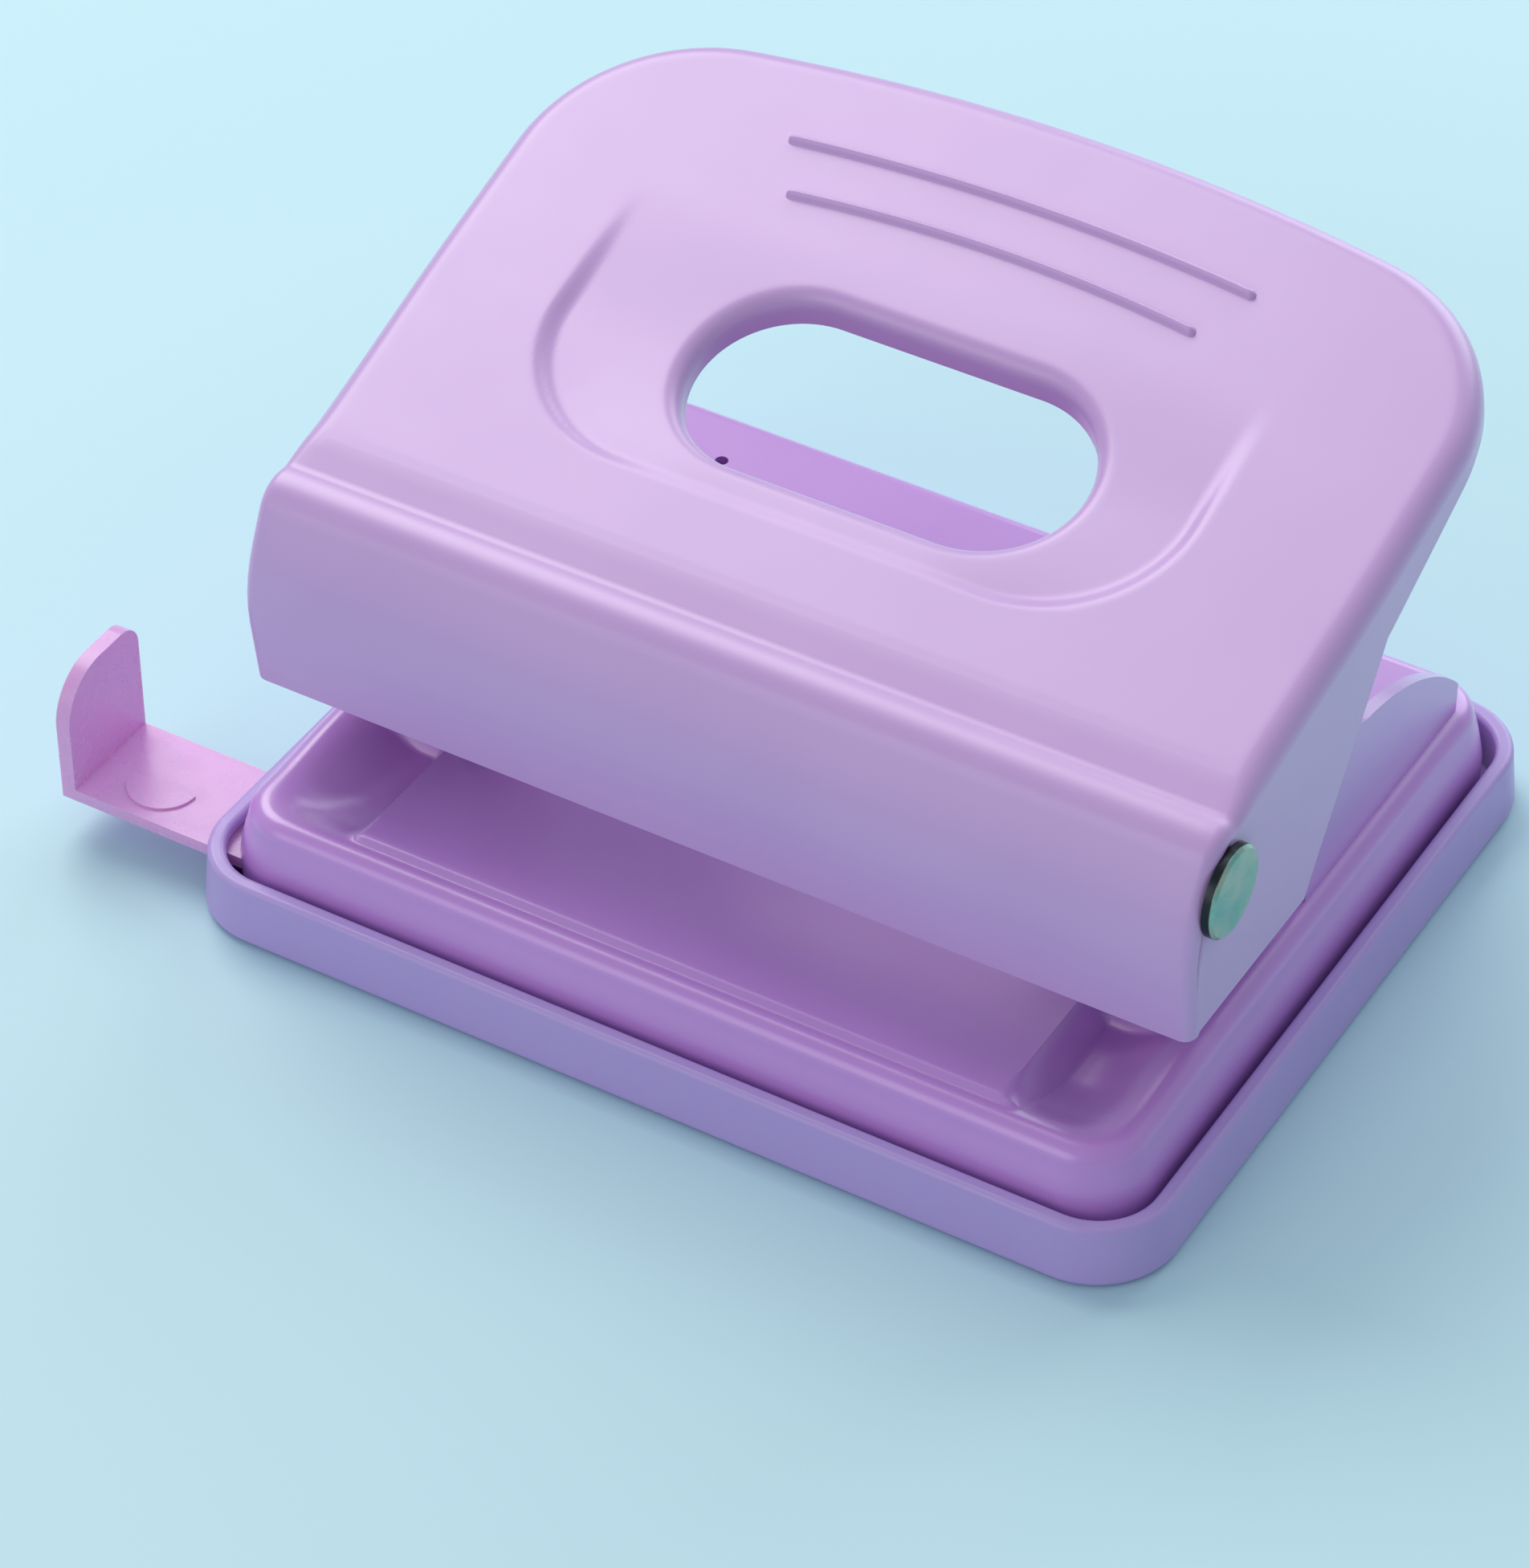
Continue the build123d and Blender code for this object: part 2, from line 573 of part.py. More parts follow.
def front_roll(inset):
    """The front wall and the roll above it, up to the valley where the top slope begins."""
    belly = (LEVER_BELLY_Y, LEVER_BELLY_Z)
    shoulder = (LEVER_SHOULDER_Y, LEVER_SHOULDER_Z)
    valley = slope_point(0, 0)
    low = LEVER_LOW_Z
    lean = (LEVER_FOOT_Y - LEVER_BELLY_Y) / (LEVER_BELLY_Z - LEVER_FOOT_Z)
    wall_end = (LEVER_FOOT_Y + lean * (LEVER_FOOT_Z - low), low)
    behind = slope_point(LEVER_BEHIND_RUN, 0)
    with BuildSketch() as sketch:
        with BuildLine():
            Polyline(wall_end, belly, shoulder, valley, behind, (behind[0], low), close=True)
        make_face()
        for corner, radius in (
            (belly, LEVER_BELLY_ROUND),
            (shoulder, LEVER_SHOULDER_ROUND),
            (valley, LEVER_VALLEY_ROUND),
        ):
            place = Vector(*corner)
            fillet([v for v in sketch.vertices() if (Vector(v) - place).length < 0.01], radius)
        if inset:
            offset(amount=-inset, kind=Kind.INTERSECTION)
    half = LEVER_FRONT_HALF - inset
    roll = side_plate(sketch.sketch, -half, half)
    ends = [
        edge
        for edge in roll.edges()
        if abs(abs(edge.center().X) - half) < 0.01
        and edge.center().Z > low + inset + 1
        and edge.center().Y < behind[0] - inset - 1
    ]
    roll = fillet(ends, LEVER_END_ROUND - inset)
    return roll - box_between(-half - 1, half + 1, slope_point(0, inset)[0], TRAY_DEPTH, 0, TRAY_DEPTH)


def lever_form(inset):
    """The lever's outer form without its underside, or its hollow."""
    slab = on_slope(lever_plan(inset), LEVER_SLAB_DEPTH, LEVER_SLAB_DEPTH - inset)
    rim_face = max(slab.faces(), key=lambda face: face.center().Z)
    rim = [edge for edge in rim_face.edges() if edge.center().Y > slope_point(LEVER_PLAN_FRONT + 1, 0)[0]]
    slab = fillet(rim, LEVER_EDGE_ROUND - inset)
    valley_y = slope_point(0, inset)[0]
    half = LEVER_REAR_HALF + 5
    slab -= box_between(-half, half, -TRAY_DEPTH, valley_y, -LEVER_SLAB_DEPTH, TRAY_DEPTH)
    slab -= box_between(-half, half, -TRAY_DEPTH, TRAY_DEPTH, -TRAY_DEPTH, LEVER_FOOT_Z - 5)
    return slab + front_roll(inset)


def under_lever():
    """The space below the lever's lower edge, which cuts its flanges, front wall and rear lip."""
    rear = slope_point(LEVER_REAR_RUN + LEVER_BEHIND_RUN, 0)
    lip = FLANGE_REAR_Z + LEVER_SLOPE * (rear[0] - FLANGE_REAR_Y)
    outline = Polyline(
        (LEVER_BELLY_Y - 10, LEVER_FOOT_Z),
        (LEVER_FOOT_Y + SHEET, LEVER_FOOT_Z),
        (LEVER_FOOT_Y + SHEET + FLANGE_FOOT_RISE, LEVER_FOOT_Z + FLANGE_FOOT_RISE),
        (FLANGE_FOOT_REAR, LEVER_FOOT_Z + FLANGE_FOOT_RISE),
        (FLANGE_KNEE_Y, FLANGE_KNEE_Z),
        (FLANGE_REAR_Y, FLANGE_REAR_Z),
        (rear[0], lip),
        (rear[0], 0),
        (LEVER_BELLY_Y - 10, 0),
        close=True,
    )
    return side_plate(make_face(outline), -LEVER_REAR_HALF - 5, LEVER_REAR_HALF + 5)


def above_dish_floor(inset):
    """Everything above the dish's floor, which rises to meet the top at the dish's rear."""
    front = DISH_FRONT_RUN - inset
    floor = Polyline(
        slope_point(front - 1, DISH_DEPTH + inset),
        slope_point(DISH_REAR_RUN, inset),
        slope_point(DISH_REAR_RUN, inset - 6),
        slope_point(front - 1, inset - 6),
        close=True,
    )
    return side_plate(make_face(floor), -LEVER_REAR_HALF, LEVER_REAR_HALF)


def dish_pocket(inset):
    """A shallow U-shaped recess, deepest at the front and running out at the rear."""
    half = DISH_HALF + inset
    front = DISH_FRONT_RUN - inset
    with BuildSketch() as sketch:
        with BuildLine():
            Polyline((-half, DISH_REAR_RUN), (-half, front), (half, front), (half, DISH_REAR_RUN), close=True)
        make_face()
        fillet([v for v in sketch.vertices() if v.Y < front + 0.01], DISH_CORNER + inset)
    return on_slope(sketch.sketch, 6, 12) & above_dish_floor(inset)


def grip_column(grow, depth, height):
    outline = SlotOverall(2 * (GRIP_HALF + grow), 2 * (GRIP_RADIUS + grow))
    return on_slope(Pos(0, GRIP_RUN) * outline, depth, height)


def lever_rib(half, run):
    """One raised rib: a bowed bar with round ends standing on the top."""
    arc = ThreePointArc((-half, run), (0, run + RIB_BOW), (half, run))
    ends = Pos(-half, run) * Circle(RIB_WIDTH / 2) + Pos(half, run) * Circle(RIB_WIDTH / 2)
    rib = on_slope(trace(arc, RIB_WIDTH) + ends, SHEET / 2, SHEET / 2 + RIB_HEIGHT)
    top = max(rib.faces(), key=lambda face: face.center().Z - LEVER_SLOPE * face.center().Y)
    return fillet(top.edges(), RIB_HEIGHT * 0.8)


def make_lever():
    outer = lever_form(0) - dish_pocket(0) - under_lever()
    lever = outer - lever_hollow()
    # the grip opening's edge is rolled down into a collar
    collar_height = GRIP_LIP_DEPTH - DISH_DEPTH - SHEET / 2
    lever = lever + grip_column(SHEET, GRIP_LIP_DEPTH, collar_height) - grip_cutter()
    for half, run in zip(RIB_HALVES, RIB_RUNS):
        lever += lever_rib(half, run)
    for side in (-1, 1):
        x0, x1 = sorted((side * (LEVER_FRONT_HALF - 4), side * (LEVER_FRONT_HALF + 1)))
        lever -= rod(PIVOT_RADIUS + SEAT_FIT, x0, x1, PIVOT_Y, PIVOT_Z)
    return lever


def grip_cutter():
    """The opening's column, flared at the dish floor so that it leaves a rolled edge."""
    room = GRIP_LIP_ROUND * 1.5
    reach = LEVER_SLAB_DEPTH / 3
    cutter = grip_column(0, reach, 2 * reach) + (grip_column(room, 6, 12) & above_dish_floor(0))
    return fillet([edge for edge in cutter.edges() if on_grip_edge(edge)], GRIP_LIP_ROUND)


def on_grip_edge(edge):
    """True for the edge where the opening's wall meets the dish floor."""
    low = slope_point(GRIP_RUN - GRIP_RADIUS, 0)[0] - 1
    high = slope_point(GRIP_RUN + GRIP_RADIUS, 0)[0] + 1
    for place in (0.0, 0.5, 1.0):
        point = edge @ place
        depth = (lever_top_z(point.Y) - point.Z) * math.cos(LEVER_PITCH)
        level = -0.1 < depth < DISH_DEPTH + 0.1
        if not level or abs(point.X) > GRIP_HALF + 0.1 or not low < point.Y < high:
            return False
    return True


def lever_hollow():
    return lever_form(SHEET) - dish_pocket(SHEET)


def lever_top_z(y):
    return LEVER_VALLEY_Z + LEVER_SLOPE * (y - LEVER_VALLEY_Y)


def make_press_bar():
    front = PUNCH_Y - BAR_WIDTH / 2
    rear = PUNCH_Y + BAR_WIDTH / 2
    high = lever_top_z(rear) + 5
    outer = channel_section(front, rear, BAR_BOTTOM, high, BAR_ROUND)
    inner = channel_section(
        front + BAR_SHEET, rear - BAR_SHEET, BAR_BOTTOM + BAR_SHEET, high, BAR_ROUND - BAR_SHEET
    )
    bar = side_plate(outer - inner, -BAR_HALF, BAR_HALF) & lever_hollow()
    notch_floor = slope_point(GRIP_RUN - GRIP_RADIUS, GRIP_LIP_DEPTH)[1] - BAR_NOTCH_GAP
    return bar - box_between(-BAR_NOTCH_HALF, BAR_NOTCH_HALF, front - 1, rear + 1, notch_floor, high)


def channel_section(front, rear, bottom, top, radius):
    """A rectangle in (y, z) with its two lower corners rounded."""
    with BuildSketch() as section:
        with BuildLine():
            Polyline((front, top), (front, bottom), (rear, bottom), (rear, top), (front, top))
        make_face()
        fillet([v for v in section.vertices() if v.Y < bottom + 0.01], radius)
    return section.sketch


def clip_span():
    """Where the retaining clip sits on the shaft, just inside the lever's left flange."""
    outer = -LEVER_FRONT_HALF + SHEET + CLIP_GAP
    return outer, outer + CLIP_THICK


def make_pivot_shaft():
    shaft = rod(PIVOT_RADIUS, -LEVER_FRONT_HALF - SHAFT_END_PROUD, LEVER_FRONT_HALF + 0.5, PIVOT_Y, PIVOT_Z)
    head = rod(PIVOT_HEAD_RADIUS, LEVER_FRONT_HALF, LEVER_FRONT_HALF + PIVOT_HEAD_HEIGHT, PIVOT_Y, PIVOT_Z)
    outer = head.edges().filter_by_position(
        Axis.X, LEVER_FRONT_HALF + PIVOT_HEAD_HEIGHT - 0.01, LEVER_FRONT_HALF + PIVOT_HEAD_HEIGHT + 0.01
    )
    x0, x1 = clip_span()
    groove = rod(PIVOT_RADIUS + 1, x0, x1, PIVOT_Y, PIVOT_Z) - rod(
        PIVOT_RADIUS - CLIP_GROOVE, x0, x1, PIVOT_Y, PIVOT_Z
    )
    return shaft + chamfer(outer, PIVOT_HEAD_CHAMFER) - groove


def make_pivot_clip():
    """A snap ring, open towards the front, pressed into the shaft's groove."""
    x0, x1 = clip_span()
    clip = rod(CLIP_RADIUS, x0, x1, PIVOT_Y, PIVOT_Z)
    clip -= rod(PIVOT_RADIUS - CLIP_GROOVE + SEAT_FIT, x0 - 1, x1 + 1, PIVOT_Y, PIVOT_Z)
    mouth = CLIP_MOUTH / 2
    return clip - box_between(x0 - 1, x1 + 1, PIVOT_Y - 2 * CLIP_RADIUS, PIVOT_Y, PIVOT_Z - mouth, PIVOT_Z + mouth)


def make_spacer(side):
    near = BRACKET_FACE + SPACER_GAP
    far = LEVER_FRONT_HALF - SHEET - SPACER_GAP / 2
    if side < 0:
        far = -clip_span()[1] - SPACER_GAP / 2
    spacer = rod(SPACER_RADIUS, near, far, PIVOT_Y, PIVOT_Z)
    spacer -= rod(PIVOT_RADIUS + SEAT_FIT, near - 1, far + 1, PIVOT_Y, PIVOT_Z)
    if side < 0:
        spacer = mirror(spacer, about=Plane.YZ)
    return spacer


def make_paper_guide():
    front = GUIDE_STRIP_FRONT
    rear = front + GUIDE_STRIP_WIDTH
    top = GUIDE_STRIP_Z + GUIDE_STRIP_THICK
    inner_x = GUIDE_TAB_X + GUIDE_TAB_THICK
    strip = box_between(GUIDE_TAB_X, GUIDE_TAB_X + GUIDE_STRIP_LENGTH, front, rear, GUIDE_STRIP_Z, top)
    with BuildSketch() as tab:
        with BuildLine():
            Polyline(
                (front, GUIDE_STRIP_Z),
                (rear, GUIDE_STRIP_Z),
                (rear, GUIDE_STRIP_Z + GUIDE_TAB_HEIGHT),
                (front, GUIDE_STRIP_Z + GUIDE_TAB_HEIGHT),
                (front, GUIDE_STRIP_Z),
            )
        make_face()
        fillet([v for v in tab.vertices() if v.Y > top and v.X < front + 1], GUIDE_TAB_FRONT_ROUND)
        fillet([v for v in tab.vertices() if v.Y > top and v.X > rear - 1], GUIDE_TAB_REAR_ROUND)
    guide = strip + side_plate(tab.sketch, GUIDE_TAB_X, inner_x)
    # half-moon thumb mark on the strip beside the tab
    mark_x = inner_x + THUMB_MARK_OFFSET
    mark = disc(mark_x, (front + rear) / 2 - 1, THUMB_MARK_RADIUS, top - 0.2, top + THUMB_MARK_HEIGHT)
    mark -= box_between(
        mark_x - 10, mark_x + 10, (front + rear) / 2 - 1, rear + 5, top - 1, top + THUMB_MARK_HEIGHT + 1
    )
    return guide + mark


def build_parts():
    parts = {
        "base_tray": make_tray(),
        "base_frame": make_frame(),
        "bracket_rivets": make_rivets(),
        "lever": make_lever(),
        "press_bar": make_press_bar(),
        "pivot_shaft": make_pivot_shaft(),
        "pivot_clip": make_pivot_clip(),
        "paper_guide": make_paper_guide(),
    }
    for name, side in (("left", -1), ("right", 1)):
        parts["side_bracket_" + name] = make_bracket(side)
        parts["die_" + name] = make_die(side)
        parts["punch_guide_" + name] = make_punch_guide(side)
        parts["punch_pin_" + name] = make_pin(side)
        parts["punch_spring_" + name] = make_spring(side)
        parts["pivot_spacer_" + name] = make_spacer(side)
    return parts


def main():
    os.makedirs("parts", exist_ok=True)
    print("least gap between spring turns:", round(spring_gap(), 2), "mm")
    for name, shape in build_parts().items():
        export_step(shape, "parts/" + name + ".step")


main()
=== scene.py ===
"""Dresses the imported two-hole punch: shaped shells, wound springs, materials, floor, light and camera."""

import math

import bmesh
import bpy
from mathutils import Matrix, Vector
from mathutils.kdtree import KDTree


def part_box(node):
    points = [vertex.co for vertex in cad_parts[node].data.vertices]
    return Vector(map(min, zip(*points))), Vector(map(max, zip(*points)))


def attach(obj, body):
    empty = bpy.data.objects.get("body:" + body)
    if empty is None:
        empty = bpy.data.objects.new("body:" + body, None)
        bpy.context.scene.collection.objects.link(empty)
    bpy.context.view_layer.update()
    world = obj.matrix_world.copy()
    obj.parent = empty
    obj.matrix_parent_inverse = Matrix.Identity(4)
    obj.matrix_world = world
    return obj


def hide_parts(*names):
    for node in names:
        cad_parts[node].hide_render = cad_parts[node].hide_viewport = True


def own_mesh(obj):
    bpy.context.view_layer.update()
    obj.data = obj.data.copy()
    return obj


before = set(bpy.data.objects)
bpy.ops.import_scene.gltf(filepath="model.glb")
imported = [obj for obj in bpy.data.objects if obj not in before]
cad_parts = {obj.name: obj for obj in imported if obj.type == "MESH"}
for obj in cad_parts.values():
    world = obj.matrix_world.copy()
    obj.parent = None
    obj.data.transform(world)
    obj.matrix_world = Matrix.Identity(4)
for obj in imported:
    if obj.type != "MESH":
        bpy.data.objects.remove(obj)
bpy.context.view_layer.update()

# Camera of the photograph, fitted to the tray and the base frame: metres and degrees
CAMERA_TARGET = (-0.02335, 0.0172, -0.01448)
CAMERA_DISTANCE = 0.69595
CAMERA_AZIMUTH = 30.70
CAMERA_ELEVATION = 40.85
CAMERA_FOCAL_PIXELS = 7463.4
PHOTO_WIDTH = 1904
SENSOR_WIDTH = 36.0
CAMERA_CLIP = (0.01, 20)

# Lever shell, millimetres. Its outline is the CAD lever's, its crease and shoulder are softer.
# A run is measured up its top slope from the valley.
MM = 0.001
SHEET = 1.2
SLOPE_RISE = 0.29
SLOPE_ANGLE = math.atan(SLOPE_RISE)
VALLEY = (-25.6, 49.4)
BROW = (-22.6, 50.27)
CREASE = (-26.4, 48.5)
SHOULDER = (-30.5, 48.95)
BELLY = (-35.9, 37.5)
FOOT = (-34.1, 24.2)
BROW_ROUND = 20.0
CREASE_ROUND = 2.0
SHOULDER_ROUND = 4.6
BELLY_ROUND = 18.0
FRONT_HALF = 57.3
REAR_HALF = 57.8
FLARE_RUNS = (5.0, 34.0)
PROFILE_END_RUN = 90
REAR_RUN = 73.3
REAR_BOW = 6.8
REAR_CORNER = 22.0
EDGE_ROUND = 2.7
END_ROUND = 1.5
END_ROUND_RUNS = (-2.0, 6.0)
TOP_START_RUN = 3.2
TOP_START_GAP = 0.1
TOP_START_MATCH = 0.01
FLANK_FOOT = ((-32.3, 24.8), (-9.0, 24.8), (6.0, 49.5))
FLANK_FOOT_RUNS = (-24.0, 9.0, 30.4)
FLANK_CORNER_WEIGHT = 5
SEAM_GAPS = (0.1, 0.25, 0.95, 1.1)
SEAM_TOP_RUN = -3.0
SEAM_INTO = 0.9
SEAM_MATCH = 0.003
SEAM_LEAST_WALL = 1
LEAST_WALL = 0.01
LIP_TURN = (26.0, 59.8)
GRIP_RUN = 29.5
GRIP_HALF = 23.6
GRIP_RADIUS = 11.4
GRIP_LIP = 2.0
GRIP_DEPTH = 4.4
DISH_MIDDLE = -1.9
DISH_HALF = 38.3
DISH_FRONT = 13.4
DISH_CORNER = 16.5
DISH_DEPTH = 0.9
DISH_STEP = 2.0
DISH_FRONT_RISE = 1
DISH_FRONT_SHARE = 0.3
DISH_FRONT_FADE = (14.0, 34.0)
DISH_FADE = (28.0, 48.0)
RIB_HALVES = (27.8, 24.2)
RIB_RUNS = (59.3, 52.4)
RIB_BOW = 1.6
RIB_HALF_WIDTH = 0.8
RIB_HEIGHT = 0.85
RIB_FLANK = 1.5
RIB_SINK = 0.05

# Base frame, millimetres. Its outline and openings are the CAD frame's, its hollows are softer.
FRAME_HALF = (54.9, 44.4)
FRAME_CORNER = 6.5
FRAME_RIM = 2.2
FRAME_TOP = 14.2
FRAME_BOTTOM = 1.8
TABLE_HALF = 39.5
LIP_DROP = 0.6
LIP_STEP = (-41.6, -40.6)
CORNER_DROP = 1.0
CORNER_START = (-42.4, -37.0)
CORNER_FADE = (-36.0, -24.0)
CORNER_SIDE = (46.0, 52.7)
SCOOP_DEPTH = 2.6
SCOOP_WALL = 2.4
SCOOP_RAMP = (43.5, 53.4)
SCOOP_FRONT = (-42.6, -31.0)
SCOOP_REAR = (-22.4, -19.9)
SKIRT_FLARE = 1.2
SKIRT_KNEE = 6.5
SKIRT_LEAST_FALL = 1
SKIRT_BOW = 0.5
DIE_HOLES = ((-40.0, -10.4), (40.0, -10.4))
DIE_HOLE_RADIUS = 5.52
HANG_HOLES = ((-40.0, 35.5), (40.0, 35.5))
HANG_HOLE_RADIUS = 0.8
HOLE_CUT_DEPTH = 8
GUIDE_NOTCH = ((-58.0, -43.19, 0.8), (-48.4, -29.0, 6.45))

# Punch springs, millimetres, with the sizes of the CAD springs
SPRING_PLACES = {"left": (-40.0, -10.4), "right": (40.0, -10.4)}
SPRING_SEAT = 26.5
SPRING_LENGTH = 13.4
SPRING_WIRE = 0.9
SPRING_RADIUS = 4.5
SPRING_TURNS = 7
SPRING_END_PITCH = 1.36
SPRING_SEAT_GAP = 0.02

# Mesh fineness: numbers of steps, angles in degrees, spacings in millimetres
PROFILE_TURN = 7
TANGENT_TRIES = 50
SIDE_STEPS = 36
CORNER_STEPS = 22
REAR_STEPS = 32
ACROSS_STEPS = 90
GRIP_LIP_STEPS = 8
TOP_STEPS = 56
ROLL_STEPS = 8
LEVER_WALL_STEPS = 6
FRAME_WALL_STEPS = 5
FRAME_TURN_STEPS = 10
RIB_LENGTH_STEPS = 80
RIB_ACROSS_STEPS = 12
SPRING_TURN_STEPS = 28
SPRING_SEGMENTS = 12
HOLE_SEGMENTS = 48
MERGE_DISTANCE = 0.02
FRAME_SPACING_ALONG = (1.6, 0.25)
FRAME_SPACING_ACROSS = (2.0, 0.35)
FRAME_FINE_FRONT = -30
FRAME_FINE_REAR = (-24, -18)
FRAME_FINE_MARGIN = 1.5
SHELL_SHARP = 50
RIB_SHARP = 60
FRAME_SHARP = 40

# Paint and plastic colours, linear. The lever and the frame wear one lilac paint, given as two copies: a
# paler one with a painted sheen of the lit top, and a darker, deeper one with painted shade for the frame
# under the lever.
# the lilac paint made paler: painted light of the lever's lit top
LILAC_PAINTED_LIT = (0.65, 0.375, 0.72, 1)
LILAC_PAINTED_LIT_DEEP = (0.63, 0.36, 0.705, 1)
# the same lilac made darker and deeper: painted shade of the frame and brackets under the lever
LILAC_PAINTED_SHADED = (0.62, 0.29, 0.74, 1)
LILAC_PAINTED_SHADED_DEEP = (0.60, 0.275, 0.725, 1)
TRAY_LILAC = (0.52, 0.365, 0.73, 1)
TRAY_LILAC_DEEP = (0.505, 0.35, 0.715, 1)
GUIDE_PINK = (0.95, 0.50, 0.89, 1)
PLATING = (0.22, 0.50, 0.42, 1)
PLATING_WARM = (0.46, 0.56, 0.44, 1)
# painted shade for the side of the plated pivot head
HEAD_SIDE_PAINTED_SHADE = (0.03, 0.035, 0.04, 1)
STEEL = (0.55, 0.55, 0.57, 1)
STEEL_DEEP = (0.51, 0.51, 0.53, 1)
TOOL_STEEL = (0.40, 0.40, 0.43, 1)
TOOL_STEEL_DEEP = (0.32, 0.32, 0.35, 1)
WHITE_PLASTIC = (0.78, 0.78, 0.78, 1)
WHITE_PLASTIC_DEEP = (0.7, 0.7, 0.7, 1)
FLOOR_COLOUR = (0.57, 0.80, 0.85, 1)

# Finishes: paints have roughness, coat and coat roughness; metals have roughness and grains per metre
LEVER_GLOSS = (0.38, 1.0, 0.38)
BASE_GLOSS = (0.3, 1.0, 0.26)
PLATED_FINISH = (0.3, 1200)
GROUND_FINISH = (0.28, 2200)
TOOL_FINISH = (0.3, 2600)
TRAY_ROUGHNESS = 0.34
SPACER_ROUGHNESS = 0.45
FLOOR_ROUGHNESS = 0.5
GUIDE_ROUGHNESS = (0.24, 0.3)
GUIDE_CLEARNESS = 0.2
GUIDE_IOR = 1.49

# Fine unevenness: features per metre, wander of the roughness, and bump depth in metres with its strength
PAINT_CLOUDS = 45
PAINT_SMEARS = 160
PAINT_PEEL = 420
PAINT_WANDER = (-0.01, 0.02)
PAINT_BUMP = (0.00002, 0.12)
PLASTIC_CLOUDS = 30
PLASTIC_SMEARS = 300
PLASTIC_GRAIN = 2600
PLASTIC_WANDER = (-0.03, 0.06)
PLASTIC_BUMP = (0.00001, 0.4)
GUIDE_GRAIN = 300
GUIDE_BUMP = (0.00001, 0.15)
METAL_CLOUDS = 260
METAL_SMEARS = 900
METAL_WANDER = (-0.04, 0.06)
METAL_BUMP = (0.00001, 0.3)

# Light carried under the plastics' surface: its share, and its reach in metres
PLASTIC_GLOW = (0.15, 0.002)
GUIDE_GLOW = (0.3, 0.003)

# Painted shade on the plated head's side, standing in for its shaded side: depths under its face,
# millimetres, between which it fades
HEAD_FACE_BAND = (0.45, 0.3)
HEAD_FOOT_BAND = (2.0, 1.6)

# Studio, metres and watts: each lamp's name, place, size, power and colour
FLOOR_SIZE = 6
FLOOR_HEIGHT = -0.0002
WORLD_COLOUR = (0.76, 0.90, 1.0, 1)
WORLD_STRENGTH = 0.5
LAMP_AIM = (0, 0, 0.03)
LAMPS = (
    ("key", (-0.72, 0.42, 0.98), 0.9, 8.0, (1.0, 0.99, 0.97)),
    ("front_fill", (-0.35, -1.1, 0.5), 0.8, 2.4, (1.0, 0.93, 0.98)),
    ("rear_fill", (0.0, 1.1, 0.55), 0.9, 5.0, (0.86, 0.95, 1.0)),
)


def new_material(name):
    material = bpy.data.materials.new(name)
    material.use_nodes = True
    tree = material.node_tree
    return material, tree, tree.nodes["Principled BSDF"]


def object_position(tree):
    return tree.nodes.new("ShaderNodeTexCoord").outputs["Object"]


def noise(tree, scale, detail=2.0):
    """Noise in the object's own metres; scale is the number of features per metre."""
    texture = tree.nodes.new("ShaderNodeTexNoise")
    texture.inputs["Scale"].default_value = scale
    texture.inputs["Detail"].default_value = detail
    tree.links.new(object_position(tree), texture.inputs["Vector"])
    return texture.outputs["Fac"]


def span(tree, value, low, high, start=0.35, end=0.65):
    """Maps the values from start to end onto the range from low to high."""
    node = tree.nodes.new("ShaderNodeMapRange")
    node.inputs["From Min"].default_value = start
    node.inputs["From Max"].default_value = end
    node.inputs["To Min"].default_value = low
    node.inputs["To Max"].default_value = high
    tree.links.new(value, node.inputs["Value"])
    return node.outputs["Result"]


def blend_colour(tree, value, first, second):
    node = tree.nodes.new("ShaderNodeMix")
    node.data_type = "RGBA"
    node.inputs["A"].default_value = first
    node.inputs["B"].default_value = second
    tree.links.new(value, node.inputs["Factor"])
    return node.outputs["Result"]


def bump(tree, shader, height, distance, strength):
    node = tree.nodes.new("ShaderNodeBump")
    node.inputs["Strength"].default_value = strength
    node.inputs["Distance"].default_value = distance
    tree.links.new(height, node.inputs["Height"])
    tree.links.new(node.outputs["Normal"], shader.inputs["Normal"])


def add_glow(shader, weight, reach):
    shader.inputs["Subsurface Weight"].default_value = weight
    shader.inputs["Subsurface Scale"].default_value = reach


def smeared(tree, scale, roughness, wander):
    """Roughness that wanders about its middle value."""
    return span(tree, noise(tree, scale, 4), roughness + wander[0], roughness + wander[1])


def gloss_paint(name, light, deep, roughness, coat, coat_roughness):
    """Baked enamel on steel: faint cloudiness, orange peel and a clear coat."""
    material, tree, shader = new_material(name)
    cloud = span(tree, noise(tree, PAINT_CLOUDS), 0, 1)
    tree.links.new(blend_colour(tree, cloud, light, deep), shader.inputs["Base Color"])
    tree.links.new(smeared(tree, PAINT_SMEARS, roughness, PAINT_WANDER), shader.inputs["Roughness"])
    shader.inputs["Coat Weight"].default_value = coat
    shader.inputs["Coat Roughness"].default_value = coat_roughness
    bump(tree, shader, noise(tree, PAINT_PEEL, 1), *PAINT_BUMP)
    return material


def moulded_plastic(name, light, deep, roughness):
    """Injection moulded plastic: even colour, a fine satin grain and slight translucence."""
    material, tree, shader = new_material(name)
    cloud = span(tree, noise(tree, PLASTIC_CLOUDS), 0, 1)
    tree.links.new(blend_colour(tree, cloud, light, deep), shader.inputs["Base Color"])
    tree.links.new(smeared(tree, PLASTIC_SMEARS, roughness, PLASTIC_WANDER), shader.inputs["Roughness"])
    add_glow(shader, *PLASTIC_GLOW)
    bump(tree, shader, noise(tree, PLASTIC_GRAIN, 3), *PLASTIC_BUMP)
    return material


